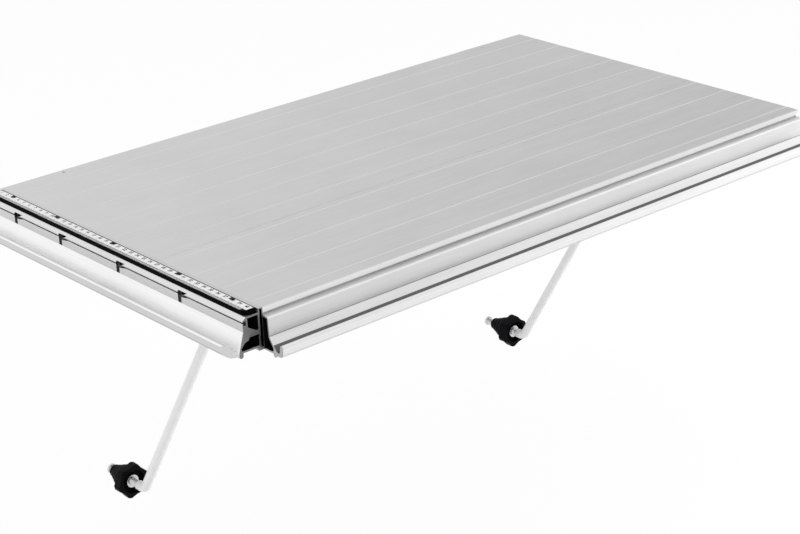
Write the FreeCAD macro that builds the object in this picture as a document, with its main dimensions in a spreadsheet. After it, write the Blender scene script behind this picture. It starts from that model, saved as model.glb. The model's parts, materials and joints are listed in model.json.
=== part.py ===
import FreeCAD, Part
import math
import os
from types import SimpleNamespace
import Sketcher

# Table extension for a portable table saw. A grooved table of two extruded planks sits between
# two edge rails; two struts swing below it and clamp into the base of the saw with star knobs.
# Everything is drawn from the near left corner of the table top: X along the long side,
# Y towards the saw, Z up. The finished part has its origin at the middle of the saw-side face.

SIZES = {
    # table top
    "plate_length": 690.0,
    "plate_depth": 410.0,
    "front_plank_depth": 148.0,
    "plank_seam": 0.2,
    "plank_skin": 3.0,
    "plank_height": 18.0,
    "plank_rib": 2.0,
    "rib_foot": 8.0,
    "rib_foot_thickness": 2.0,
    "lap_reach": 5.0,
    "front_edge_drop": 5.2,
    "front_edge_chamfer": 0.5,
    "first_groove": 15.0,
    "groove_pitch": 41.0,
    "groove_width": 1.3,
    "groove_depth": 0.7,
    "screw_port_radius": 2.1,
    "screw_port_wall": 2.0,
    # long front rail
    "front_inset": 3.0,
    "front_wall": 1.4,
    "ledge_drop": 7.0,
    "ledge_reach": 5.4,
    "ledge_slope": 0.9,
    "ledge_chamfer": 0.9,
    "fascia_height": 15.6,
    "fascia_lean": 0.9,
    "feature_groove_height": 1.2,
    "feature_groove_depth": 0.6,
    "collar_height": 1.2,
    "collar_run": 0.8,
    "front_skirt_height": 9.2,
    "front_skirt_run": 7.6,
    "front_foot_block": 4.0,
    "front_channel_width": 4.0,
    "front_channel_fall": 0.5,
    "front_bottom_wall": 1.5,
    "bead_radius": 2.2,
    # upturned lip of both edge rails
    "lip_rise": 8.1,
    "lip_drop": 3.2,
    "lip_wall": 4.2,
    "lip_lean": 1.2,
    # scale rail
    "inner_fin": 1.0,
    "fin_gap": 2.4,
    "second_fin": 1.2,
    "seat_drop": 4.0,
    "seat_width": 13.0,
    "seat_wall": 1.2,
    "shoulder_run": 3.6,
    "shoulder_drop": 2.6,
    "slot_lip": 1.0,
    "slot_height": 1.2,
    "slot_wall": 0.7,
    "slot_room_depth": 3.0,
    "slot_room_height": 4.1,
    "slot_room_wall": 1.4,
    "scale_face_height": 9.8,
    "web_drop": 18.6,
    "web_wall": 4.1,
    "web_rise": 5.2,
    "scale_skirt_height": 17.8,
    "scale_skirt_run": 5.4,
    "scale_skirt_wall": 2.4,
    "scale_channel_width": 2.9,
    "scale_channel_fall": 1.6,
    "scale_bottom_wall": 1.8,
    "fin_drop": 3.2,
    "mitre_run": 15.5,
    # notches milled through the scale rail's outer wall
    "notch_first": 74.5,
    "notch_pitch": 94.2,
    "notch_last_pitch": 77.6,
    "notch_length": 17.4,
    "notch_drop": 5.8,
    "notch_lip_run": 8.8,
    "notch_slant": 3.9,
    "notch_depth": 6.2,
    "notch_end_width": 5.0,
    "notch_end_depth": 4.0,
    # scale on its carrier
    "carrier_clearance": 0.3,
    "carrier_end_gap": 1.2,
    "carrier_chamfer": 5.0,
    "carrier_bevel": 3.0,
    "tape_inset": 0.6,
    "tape_width": 7.6,
    "tape_depth": 0.4,
    "strip_gap": 0.5,
    "strip_width": 2.8,
    # hidden rails and cross beams
    "end_rail_web": 3.0,
    "end_rail_flange": 15.0,
    "end_rail_height": 36.0,
    "end_flange_wall": 2.5,
    "saw_rail_height": 27.0,
    "saw_rail_depth": 25.0,
    "saw_rail_wall": 2.5,
    "beam_width": 30.0,
    "beam_wall": 2.0,
    # corner angles and their screws
    "angle_leg": 24.0,
    "angle_wall": 3.0,
    "angle_height": 8.4,
    "angle_gap": 0.5,
    "screw_radius": 2.5,
    "screw_clearance": 0.15,
    "screw_head_radius": 4.2,
    "screw_head_height": 2.75,
    "screw_tail": 2.0,
    "socket_radius": 1.5,
    "socket_depth": 1.4,
    "plank_screw_radius": 2.0,
    "plank_screw_head": 4.0,
    "plank_screw_length": 14.0,
    # hooks on the saw side
    "hook_offset": 64.0,
    "hook_width": 36.0,
    "hook_height": 22.0,
    "hook_wall": 3.0,
    "hook_gap": 5.0,
    "hook_lip": 9.0,
    "hook_screw_spacing": 20.0,
    "leveller_radius": 2.0,
    "leveller_length": 14.0,
    "leveller_inset": 3.4,
    # strut pivots
    "pivot_inset": 77.8,
    "pivot_depth": 151.3,
    "pivot_drop": 44.0,
    "ear_wall": 3.0,
    "ear_radius": 11.0,
    "bracket_length": 46.0,
    "bracket_wall": 3.0,
    "bracket_screw_spacing": 30.0,
    "pivot_bolt_radius": 3.0,
    "pivot_bolt_clearance": 0.05,
    "pivot_head_radius": 5.0,
    "pivot_head_height": 4.0,
    "pivot_nut_radius": 5.5,
    "pivot_nut_height": 6.0,
    "bolt_tail": 1.5,
    "friction_washer": 1.2,
    "washer_radius": 8.0,
    "washer_clearance": 0.05,
    "bush_wall": 1.0,
    # struts
    "eye_radius": 10.0,
    "eye_width": 10.0,
    "neck_gap": 0.6,
    "strut_length": 340.6,
    "strut_radius": 5.1,
    "strut_wall": 1.0,
    "strut_bend_radius": 12.0,
    "strut_tail": 11.0,
    "left_lean": 32.55,
    "right_lean": 31.65,
    # studs, knobs and end nuts
    "stud_radius": 4.0,
    "stud_end": 62.0,
    "end_nut_radius": 5.5,
    "end_nut_height": 3.6,
    "end_nut_inset": 1.0,
    "left_knob_place": 25.5,
    "right_knob_place": 20.0,
    "knob_radius": 18.5,
    "knob_valley": 15.9,
    "knob_thickness": 10.6,
    "left_knob_turn": -18.0,
    "right_knob_turn": -10.0,
    "knob_recess_radius": 12.5,
    "knob_recess_depth": 6.5,
    "insert_radius": 7.0,
    "insert_stand": 4.5,
    "insert_clearance": 0.06,
    "cone_gap": 0.3,
    "cone_step": 6.2,
    "cone_base_radius": 14.0,
    "cone_second_radius": 11.5,
    "cone_third_radius": 9.0,
    "cone_tip_radius": 6.9,
    # one overrun for every cut
    "overrun": 1.0,
}

LOBES = 6
LOBE_FLAT_SHARE = 0.2
CONE_STRAIGHT_SHARE = 0.7
CONE_ROUND_SHARE = 0.92
EVEN_NOTCHES = 3
ZERO = 0.0

document = FreeCAD.newDocument("TableExtension")
sheet = document.addObject("Spreadsheet::Sheet", "Sizes")
for row, (alias, number) in enumerate(SIZES.items(), start=1):
    sheet.set(f"A{row}", alias.replace("_", " "))
    sheet.set(f"B{row}", str(number))
    sheet.setAlias(f"B{row}", alias)
document.recompute()


class Length:
    """A size worked out from the sheet: its number now, and the expression that keeps it so."""

    def __init__(self, number, text):
        self.number = number
        self.text = text

    def __add__(self, other):
        other = as_length(other)
        return Length(self.number + other.number, f"({self.text} + {other.text})")

    def __sub__(self, other):
        other = as_length(other)
        return Length(self.number - other.number, f"({self.text} - {other.text})")

    def __mul__(self, other):
        other = as_length(other)
        return Length(self.number * other.number, f"{self.text} * {other.text}")

    def __truediv__(self, other):
        other = as_length(other)
        return Length(self.number / other.number, f"{self.text} / {other.text}")

    def __neg__(self):
        return Length(-self.number, f"(-1 * {self.text})")

    def __radd__(self, other):
        return as_length(other) + self

    def __rsub__(self, other):
        return as_length(other) - self

    def __rmul__(self, other):
        return as_length(other) * self


def as_length(value):
    """Takes a plain number, such as a share or zero, into a sum of lengths."""
    if isinstance(value, Length):
        return value
    return Length(float(value), f"({float(value)!r})")


def sine(angle):
    return Length(math.sin(math.radians(angle.number)), f"sin({angle.text})")


def cosine(angle):
    return Length(math.cos(math.radians(angle.number)), f"cos({angle.text})")


def tangent(angle):
    return Length(math.tan(math.radians(angle.number)), f"tan({angle.text})")


s = SimpleNamespace(**{alias: Length(number, f"Sizes.{alias}") for alias, number in SIZES.items()})

# The corner of the table top, seen from the part's origin.
CORNER = (
    s.plate_length * -0.5,
    -s.plate_depth,
    (s.plank_skin + s.saw_rail_height) / 2,
)

SUBPARTS = []


def bind(item, path, length):
    """Ties one property to the sheet."""
    item.setExpression(path, as_length(length).text)


def new_body(label, place=(ZERO, ZERO, ZERO)):
    """Starts a sub-part whose own origin lies at a place measured from the table's corner."""
    body = document.addObject("PartDesign::Body", label)
    body.Label = label
    for letter, corner, shift in zip("xyz", CORNER, place):
        bind(body, f"Placement.Base.{letter}", corner + shift)
    SUBPARTS.append(body)
    return body


# A sketch on XZ looks along -Y, so lengths measured along +Y run against its normal.
FACES_ALONG = {"YZ_Plane": 1, "XZ_Plane": -1, "XY_Plane": 1}


def new_sketch(body, role, loops, start=ZERO):
    """Draws closed loops on one of the body's origin planes, shifted along the plane's axis."""
    sketch = body.newObject("Sketcher::SketchObject", f"{body.Label}_sketch")
    plane = next(item for item in body.Origin.OriginFeatures if item.Role == role)
    sketch.AttachmentSupport = [(plane, "")]
    sketch.MapMode = "FlatFace"
    bind(sketch, "AttachmentOffset.Base.z", as_length(start) * FACES_ALONG[role])
    for loop in loops:
        if loop[0] == "circle":
            draw_circle(sketch, loop)
        else:
            draw_loop(sketch, loop)
    return sketch


def hold(sketch, kind, first, second, length):
    """Adds one dimension to a sketch and ties it to the sheet."""
    if kind == "Radius":
        constraint = Sketcher.Constraint(kind, first, length.number)
    else:
        constraint = Sketcher.Constraint(kind, -1, 1, first, second, length.number)
    index = sketch.addConstraint(constraint)
    bind(sketch, f"Constraints[{index}]", length)


def draw_circle(sketch, loop):
    """A circle given as its name, the two coordinates of its centre and its radius."""
    across, up, radius = (as_length(value) for value in loop[1:])
    centre = FreeCAD.Vector(across.number, up.number, 0)
    circle = Part.Circle(centre, FreeCAD.Vector(0, 0, 1), radius.number)
    index = sketch.addGeometry(circle)
    hold(sketch, "DistanceX", index, 3, across)
    hold(sketch, "DistanceY", index, 3, up)
    hold(sketch, "Radius", index, 0, radius)


def arc_between(first, second, radius):
    """The short arc from one point to the next; a positive radius turns left."""
    chord = second - first
    half = chord.Length / 2
    rise = math.sqrt(max(radius ** 2 - half ** 2, 0))
    side = 1 if radius > 0 else -1
    left = FreeCAD.Vector(-chord.y, chord.x, 0).normalize()
    centre = (first + second) / 2 + left * (rise * side)
    circle = Part.Circle(centre, FreeCAD.Vector(0, 0, 1), abs(radius))
    ends = (first, second) if radius > 0 else (second, first)
    angles = [math.atan2(end.y - centre.y, end.x - centre.x) for end in ends]
    if angles[1] < angles[0]:
        angles[1] += 2 * math.pi
    return Part.ArcOfCircle(circle, angles[0], angles[1])


def draw_path(sketch, points, closed):
    """Lines from point to point. A third value on a point bends the stretch that leaves it."""
    spots = [[as_length(value) for value in point] for point in points]
    count = len(spots) if closed else len(spots) - 1
    shapes = []
    entries = []
    for here in range(count):
        there = (here + 1) % len(spots)
        first = FreeCAD.Vector(spots[here][0].number, spots[here][1].number, 0)
        second = FreeCAD.Vector(spots[there][0].number, spots[there][1].number, 0)
        bent = len(spots[here]) > 2
        turns_right = bent and spots[here][2].number < 0
        if bent:
            shapes.append(arc_between(first, second, spots[here][2].number))
        else:
            shapes.append(Part.LineSegment(first, second))
        entries.append((2, 1) if turns_right else (1, 2))
    base = sketch.addGeometry(shapes)[0]
    joins = count if closed else count - 1
    sketch.addConstraint([
        Sketcher.Constraint("Coincident", base + here, entries[here][1],
                            base + (here + 1) % count, entries[(here + 1) % count][0])
        for here in range(joins)
    ])
    for here in range(count):
        hold(sketch, "DistanceX", base + here, entries[here][0], spots[here][0])
        hold(sketch, "DistanceY", base + here, entries[here][0], spots[here][1])
        if len(spots[here]) > 2:
            radius = spots[here][2]
            hold(sketch, "Radius", base + here, 0, radius if radius.number > 0 else -radius)
    if not closed:
        hold(sketch, "DistanceX", base + count - 1, entries[-1][1], spots[-1][0])
        hold(sketch, "DistanceY", base + count - 1, entries[-1][1], spots[-1][1])


def draw_loop(sketch, points):
    draw_path(sketch, points, closed=True)


def pad(body, role, loops, length, start=ZERO):
    """Extrudes loops along the positive axis of their plane."""
    sketch = new_sketch(body, role, loops, start)
    feature = body.newObject("PartDesign::Pad", f"{body.Label}_pad")
    feature.Profile = sketch
    feature.Reversed = FACES_ALONG[role] < 0
    bind(feature, "Length", length)
    return feature


def cut(body, role, loops, length, start=ZERO):
    """Cuts loops out of the body along the positive axis of their plane."""
    sketch = new_sketch(body, role, loops, start)
    feature = body.newObject("PartDesign::Pocket", f"{body.Label}_cut")
    feature.Profile = sketch
    feature.Reversed = FACES_ALONG[role] > 0
    bind(feature, "Length", length)
    return feature


def turn(body, loop, place):
    """Turns an outline of distance and radius about an axis along Y through a place in XZ."""
    sketch = body.newObject("Sketcher::SketchObject", f"{body.Label}_sketch")
    plane = next(item for item in body.Origin.OriginFeatures if item.Role == "YZ_Plane")
    sketch.AttachmentSupport = [(plane, "")]
    sketch.MapMode = "FlatFace"
    across, up = place
    bind(sketch, "AttachmentOffset.Base.z", across)
    bind(sketch, "AttachmentOffset.Base.y", up)
    draw_loop(sketch, loop)
    feature = body.newObject("PartDesign::Revolution", f"{body.Label}_turned")
    feature.Profile = sketch
    feature.ReferenceAxis = (sketch, ["H_Axis"])
    feature.Angle = 360
    return feature


def rectangle(left, right, low, high):
    return [(left, low), (right, low), (right, high), (left, high)]


def how_many(room, pitch):
    """How many places a pitch apart fit into a length, the first at its start."""
    return int(math.floor(room.number / pitch.number)) + 1


def repeat(body, features, plane_axis, pitch, count):
    """Repeats features along an axis of the first feature's sketch."""
    pattern = body.newObject("PartDesign::LinearPattern", f"{body.Label}_pattern")
    pattern.Originals = features
    pattern.Direction = (features[0].Profile[0], [plane_axis])
    pattern.Occurrences = count
    bind(pattern, "Length", pitch * (count - 1))
    body.Tip = pattern
    return pattern


# Places shared by several pieces, from the table's corner.
rib_centre = s.first_groove + s.groove_pitch / 2
rib_bottom = -s.plank_height
foot_top = s.rib_foot_thickness - s.plank_height
port_height = -(s.plank_skin + s.plank_height - s.rib_foot_thickness) / 2
port_boss = s.screw_port_radius + s.screw_port_wall
saw_rail_front = s.plate_depth - s.saw_rail_depth
saw_rail_bottom = -(s.plank_skin + s.saw_rail_height)
end_web_inside = s.plate_length - s.end_rail_web


def add_plank(label, section, wall, first_rib, rib_room, first_groove, groove_room):
    """One extruded plank: a skin, hanging ribs with feet and screw ports, and fine grooves."""
    body = new_body(label)
    pad(body, "YZ_Plane", [section], s.plate_length)
    ribs = how_many(rib_room - first_rib, s.groove_pitch)
    rib = pad(body, "YZ_Plane", [hanging_rib(first_rib)], s.plate_length)
    boss = pad(body, "YZ_Plane", [("circle", first_rib, port_height, port_boss)], s.plate_length)
    repeat(body, [rib, boss], "H_Axis", s.groove_pitch, ribs)
    port = cut(body, "YZ_Plane", [("circle", first_rib, port_height, s.screw_port_radius)],
               s.plate_length + s.overrun * 2, start=-s.overrun)
    repeat(body, [port], "H_Axis", s.groove_pitch, ribs)
    pad(body, "YZ_Plane", [wall], s.plate_length)
    grooves = how_many(groove_room - first_groove, s.groove_pitch)
    groove = cut(body, "YZ_Plane", [v_groove(first_groove)],
                 s.plate_length + s.overrun * 2, start=-s.overrun)
    repeat(body, [groove], "H_Axis", s.groove_pitch, grooves)
    cut(body, "YZ_Plane",
        [rectangle(-s.overrun, s.plate_depth + s.overrun, rib_bottom - s.overrun, -s.plank_skin)],
        s.end_rail_web + s.overrun, start=end_web_inside)
    return body


def hanging_rib(centre):
    """The inverted T of one rib, from the skin down to the foot."""
    return [
        (centre - s.plank_rib / 2, -s.plank_skin),
        (centre - s.plank_rib / 2, foot_top),
        (centre - s.rib_foot / 2, foot_top),
        (centre - s.rib_foot / 2, rib_bottom),
        (centre + s.rib_foot / 2, rib_bottom),
        (centre + s.rib_foot / 2, foot_top),
        (centre + s.plank_rib / 2, foot_top),
        (centre + s.plank_rib / 2, -s.plank_skin),
    ]


def v_groove(centre):
    """A shallow V in the table's surface, cut a little over it."""
    half = s.groove_width / 2
    return [(centre - half, ZERO), (centre, -s.groove_depth), (centre + half, ZERO),
            (centre + half, s.overrun), (centre - half, s.overrun)]


def add_planks():
    lap_low = -s.plank_skin * 2
    seam = s.front_plank_depth
    front_near = [
        (s.front_edge_chamfer, ZERO),
        (ZERO, -s.front_edge_chamfer),
        (ZERO, -s.front_edge_drop),
        (s.front_inset, -s.front_edge_drop),
        (s.front_inset + s.plank_rib, -s.front_edge_drop),
        (s.front_inset + s.plank_rib, -s.plank_skin),
    ]
    front_far = [
        (seam - s.plank_rib, -s.plank_skin),
        (seam - s.plank_rib, lap_low),
        (seam + s.lap_reach, lap_low),
        (seam + s.lap_reach, -s.plank_skin),
        (seam, -s.plank_skin),
        (seam, ZERO),
    ]
    front_wall = rectangle(s.front_inset, s.front_inset + s.plank_rib, rib_bottom,
                           -s.front_edge_drop)
    front_room = seam - s.rib_foot
    add_plank("front_plank", front_near + front_far, front_wall, rib_centre, front_room,
              s.first_groove, front_room)
    rear_start = seam + s.plank_seam
    rear_skin = rectangle(rear_start, s.plate_depth, -s.plank_skin, ZERO)
    passed = how_many(seam - s.first_groove, s.groove_pitch)
    rear_groove = s.first_groove + s.groove_pitch * passed
    rear_rib = rear_groove - s.groove_pitch / 2
    rear_wall = rectangle(saw_rail_front - s.plank_rib, saw_rail_front, rib_bottom,
                          -s.plank_skin)
    rear_rib = rear_rib + lap_clearance(rear_rib)
    rear = add_plank("rear_plank", rear_skin, rear_wall, rear_rib, saw_rail_front - s.rib_foot,
                     rear_groove, s.plate_depth - s.groove_pitch / 2)
    cut(rear, "XY_Plane", leveller_holes(), s.plank_skin + s.overrun * 2,
        start=-(s.plank_skin + s.overrun))


def lap_clearance(centre):
    """The rear plank's first rib stands clear of the tongue that the front plank puts under it."""
    tongue = s.front_plank_depth + s.lap_reach
    short = tongue.number + s.rib_foot.number / 2 + s.plank_seam.number - centre.number
    if short > 0:
        return tongue + s.rib_foot / 2 + s.plank_seam - centre
    return as_length(ZERO)


# Places on the front rail, as reach in front of the table's edge and as drop below its top.
fascia_top_reach = s.ledge_reach + s.ledge_chamfer
fascia_top_drop = s.ledge_drop + s.ledge_slope + s.ledge_chamfer
fascia_foot_reach = fascia_top_reach + s.fascia_lean
fascia_foot_drop = fascia_top_drop + s.fascia_height
collar_drop = fascia_foot_drop + s.feature_groove_height
front_skirt_top_reach = fascia_foot_reach + s.collar_run
front_skirt_top_drop = collar_drop + s.collar_height
front_skirt_reach = front_skirt_top_reach + s.front_skirt_run
front_skirt_drop = front_skirt_top_drop + s.front_skirt_height
front_floor_reach = front_skirt_reach + s.front_channel_width
front_floor_drop = front_skirt_drop + s.front_channel_fall
front_rail_drop = front_floor_drop + s.lip_drop
front_bottom_drop = front_rail_drop - s.bead_radius / 3


def lip_points(reach, drop):
    """The upturned lip that closes a rail's channel, from the channel's floor round to below."""
    half = s.lip_wall / 2
    round_radius = half * 1.02
    top = drop - s.lip_rise
    inside = reach + s.lip_lean
    return [
        (reach, drop),
        (inside, top + half, round_radius),
        (inside + half, top, round_radius),
        (inside + s.lip_wall, top + half),
        (inside + s.lip_wall, drop - s.lip_drop / 3, s.lip_wall * 1.2),
        (reach + half / 2, drop + s.lip_drop),
    ]


def bead_points(reach, drop, side_drop):
    """The round bead that a rail stands on, from its outer side to its inner side."""
    radius = s.bead_radius
    return [
        (reach + radius, drop, radius * 1.02),
        (reach, drop + radius, radius * 1.02),
        (reach - radius, drop),
        (reach - radius, side_drop),
    ]


def outside(points):
    """Turns reach and drop into the sketch's own two axes, for a rail outside the table."""
    return [(-point[0], -point[1], *point[2:]) for point in points]


def add_front_rail():
    """The long fascia with its ledge, skirt, channel and lip, hollow along its whole length."""
    wall = s.front_wall
    outline = [
        (-s.front_inset, s.ledge_drop),
        (s.ledge_reach, s.ledge_drop + s.ledge_slope),
        (fascia_top_reach, fascia_top_drop),
        (fascia_foot_reach, fascia_foot_drop),
        (fascia_foot_reach - s.feature_groove_depth,
         fascia_foot_drop + s.feature_groove_height / 2),
        (fascia_foot_reach, collar_drop),
        (front_skirt_top_reach, front_skirt_top_drop),
        (front_skirt_reach, front_skirt_drop),
    ]
    outline += lip_points(front_floor_reach, front_floor_drop)
    outline += bead_points(front_skirt_reach - s.bead_radius, front_rail_drop, front_bottom_drop)
    outline += [(-s.front_inset, front_bottom_drop)]
    block = s.front_foot_block
    chamber_floor = front_bottom_drop - s.front_bottom_wall
    chamber_reach = front_skirt_reach - block
    chamber = [
        (wall - s.front_inset, s.ledge_drop + wall),
        (fascia_top_reach - wall, s.ledge_drop + s.ledge_slope + wall),
        (fascia_foot_reach - wall, collar_drop),
        (front_skirt_top_reach - wall, front_skirt_top_drop + wall / 2),
        (chamber_reach, front_skirt_drop - block / 2),
        (chamber_reach, chamber_floor - s.front_channel_fall * 2),
        (chamber_reach - block / 2, chamber_floor),
        (wall - s.front_inset, chamber_floor),
    ]
    body = new_body("front_rail")
    pad(body, "YZ_Plane", [outside(outline), outside(chamber)], s.plate_length)
    drill_front_rail(body)


# Places on the scale rail, as reach left of the table's edge and as drop below its top.
seat_reach = s.inner_fin + s.fin_gap + s.second_fin
seat_end_reach = seat_reach + s.seat_width
face_reach = seat_end_reach + s.shoulder_run
face_drop = s.seat_drop + s.shoulder_drop
slot_top_drop = face_drop + s.slot_lip
slot_bottom_drop = slot_top_drop + s.slot_height
room_top_drop = slot_top_drop - s.slot_lip * 0.8
room_bottom_drop = room_top_drop + s.slot_room_height
face_foot_drop = face_drop + s.scale_face_height
scale_skirt_reach = face_reach + s.scale_skirt_run
scale_skirt_drop = face_foot_drop + s.scale_skirt_height
scale_floor_reach = scale_skirt_reach + s.scale_channel_width
scale_floor_drop = scale_skirt_drop + s.scale_channel_fall
scale_bottom_drop = scale_floor_drop - s.slot_lip
scale_bead_reach = scale_skirt_reach - s.bead_radius
scale_bead_drop = scale_bottom_drop + s.bead_radius
scale_rail_reach = scale_floor_reach + s.lip_lean + s.lip_wall


def scale_rail_outline():
    room_outer = face_reach - s.slot_wall
    room_inner = room_outer - s.slot_room_depth
    outline = [
        (ZERO, ZERO),
        (seat_reach, ZERO),
        (seat_reach, s.seat_drop),
        (seat_end_reach, s.seat_drop),
        (face_reach, face_drop),
        (face_reach, slot_top_drop),
        (room_outer, slot_top_drop),
        (room_outer, room_top_drop),
        (room_inner, room_top_drop),
        (room_inner, room_bottom_drop),
        (room_outer, room_bottom_drop),
        (room_outer, slot_bottom_drop),
        (face_reach, slot_bottom_drop),
        (face_reach, face_foot_drop),
        (scale_skirt_reach, scale_skirt_drop),
    ]
    outline += lip_points(scale_floor_reach, scale_floor_drop)
    outline += bead_points(scale_bead_reach, scale_bead_drop, scale_bottom_drop)
    outline += [
        (seat_reach + s.fin_drop, scale_bottom_drop),
        (seat_reach + s.fin_drop / 2, scale_bottom_drop + s.fin_drop),
        (ZERO, scale_bottom_drop + s.fin_drop),
    ]
    return outline


def scale_rail_chambers():
    """The gap between the two fins and the two chambers that the slanting web parts."""
    inner = seat_reach + s.second_fin / 2
    room_inner = face_reach - s.slot_wall - s.slot_room_depth - s.slot_room_wall
    gap = rectangle(s.inner_fin, s.inner_fin + s.fin_gap, s.inner_fin,
                    scale_bottom_drop + s.slot_lip / 2)
    upper = [
        (inner, s.seat_drop + s.seat_wall),
        (room_inner, s.seat_drop + s.seat_wall),
        (room_inner, s.web_drop - s.web_rise),
        (inner + s.web_rise / 2, s.web_drop),
        (inner, s.web_drop),
    ]
    low = scale_bottom_drop - s.scale_bottom_wall
    web_low = s.web_drop + s.web_wall
    lower = [
        (inner, web_low),
        (room_inner - s.scale_skirt_wall / 2, web_low),
        (room_inner, web_low + s.scale_skirt_wall),
        (face_reach - s.scale_skirt_wall / 2, web_low + s.scale_skirt_wall + s.slot_lip),
        (scale_skirt_reach - s.scale_skirt_wall, low - s.scale_skirt_wall),
        (scale_skirt_reach - s.scale_skirt_wall * 1.3, low),
        (inner, low),
    ]
    return [gap, upper, lower]


def notch_window(far):
    """The deep part of one notch, from the side: it opens the slot's lip down to the chamber."""
    lip_end = far - s.notch_lip_run
    return [
        (far, -s.notch_drop),
        (lip_end - s.notch_slant, -s.notch_drop),
        (lip_end, -slot_top_drop),
        (far - s.notch_end_width, -room_bottom_drop),
        (far, -room_bottom_drop),
    ]


def notch_mouth(far):
    """The shallow part of one notch: it widens the slot towards the notch's far end."""
    return [
        (far, -slot_top_drop),
        (far - s.notch_length, -slot_top_drop),
        (far - s.notch_length, -slot_bottom_drop),
        (far - s.notch_end_width, -room_bottom_drop),
        (far, -room_bottom_drop),
    ]


def add_scale_rail():
    """The short rail with the scale's seat, a slot, a skirt, a channel and a lip."""
    loops = [outside(scale_rail_outline())] + [outside(c) for c in scale_rail_chambers()]
    body = new_body("scale_rail")
    pad(body, "XZ_Plane", loops, s.plate_depth)
    first = s.notch_first + s.notch_length
    evenly = [first + s.notch_pitch * step for step in range(EVEN_NOTCHES)]
    ends = evenly + [evenly[-1] + s.notch_last_pitch]
    strips = [rectangle(far - s.notch_end_width, far, -face_foot_drop, -s.notch_drop)
              for far in ends]
    for loops, depth in (([notch_window(far) for far in ends], s.notch_depth),
                         ([notch_mouth(far) for far in ends], s.slot_wall),
                         (strips, s.notch_end_depth)):
        cut(body, "YZ_Plane", loops, depth + s.overrun, start=-(face_reach + s.overrun))
    outer = scale_rail_reach + s.overrun
    mitre = [
        (-scale_skirt_reach, -s.overrun),
        (-scale_skirt_reach, ZERO),
        (-outer, s.mitre_run),
        (-outer, -s.overrun),
    ]
    cut(body, "XY_Plane", [mitre], scale_rail_depth + s.overrun,
        start=-(scale_rail_depth + s.overrun / 2))
    drill_scale_rail(body)


scale_rail_depth = scale_bead_drop + s.bead_radius + s.fin_drop

carrier_inside = seat_reach + s.carrier_clearance
carrier_outside = seat_end_reach - s.carrier_clearance
carrier_length = s.plate_depth - s.carrier_end_gap * 2
tape_inside = carrier_inside + s.tape_inset
tape_outside = tape_inside + s.tape_width
strip_inside = tape_outside + s.strip_gap
strip_outside = strip_inside + s.strip_width


def chamfered_plan(inside, outside, near, far, chamfer):
    """A long strip seen from above, with both outer corners cut off."""
    return [
        (-inside, near),
        (-inside, far),
        (chamfer - outside, far),
        (-outside, far - chamfer),
        (-outside, near + chamfer),
        (chamfer - outside, near),
    ]


def add_scale():
    """The black carrier in its seat, with the white tape and a grey strip let into its top."""
    near = s.carrier_end_gap
    far = near + carrier_length
    body = new_body("scale_carrier")
    plan = chamfered_plan(carrier_inside, carrier_outside, near, far, s.carrier_chamfer)
    pad(body, "XY_Plane", [plan], s.seat_drop, start=-s.seat_drop)
    for end, inward in ((near, 1), (far, -1)):
        bevel = [
            (end, -s.seat_drop),
            (end + s.carrier_bevel * inward, ZERO),
            (end + s.carrier_bevel * inward, s.overrun),
            (end - s.overrun * inward, s.overrun),
            (end - s.overrun * inward, -s.seat_drop),
        ]
        cut(body, "YZ_Plane", [bevel], s.seat_width, start=-seat_end_reach)
    rim = s.carrier_bevel + s.tape_inset
    bed = chamfered_plan(tape_inside, strip_outside, near + rim, far - rim, s.strip_width)
    cut(body, "XY_Plane", [bed], s.tape_depth + s.overrun, start=-s.tape_depth)
    tape = new_body("scale_tape")
    pad(tape, "XY_Plane", [rectangle(-tape_outside, -tape_inside, near + rim, far - rim)],
        s.tape_depth, start=-s.tape_depth)
    strip = new_body("scale_edge_strip")
    back = rim + s.carrier_chamfer
    pad(strip, "XY_Plane",
        [rectangle(-strip_outside, -strip_inside, near + back, far - back)],
        s.tape_depth, start=-s.tape_depth)


def add_end_rail():
    """The hidden rail under the right edge: a web with one flange for the planks' feet."""
    inner = s.plate_length - s.end_rail_flange
    low = -(s.plank_skin + s.end_rail_height)
    foot = rib_bottom - s.end_flange_wall
    outline = [
        (s.plate_length, -s.plank_skin),
        (s.plate_length, low),
        (inner, low),
        (inner, low + s.end_flange_wall),
        (end_web_inside, low + s.end_flange_wall),
        (end_web_inside, foot),
        (inner, foot),
        (inner, rib_bottom),
        (end_web_inside, rib_bottom),
        (end_web_inside, -s.plank_skin),
    ]
    body = new_body("end_rail")
    pad(body, "XZ_Plane", [outline], saw_rail_front - s.front_inset, start=s.front_inset)
    drill_end_rail(body)


def add_saw_rail():
    """The box rail under the edge that meets the saw."""
    wall = s.saw_rail_wall
    outer = rectangle(saw_rail_front, s.plate_depth, saw_rail_bottom, -s.plank_skin)
    inner = rectangle(saw_rail_front + wall, s.plate_depth - wall, saw_rail_bottom + wall,
                      -(s.plank_skin + wall))
    body = new_body("saw_side_rail")
    pad(body, "YZ_Plane", [outer, inner], end_web_inside)
    drill_saw_rail(body)


pivot_places = {
    "left": s.pivot_inset,
    "right": s.plate_length - s.pivot_inset,
}


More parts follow.
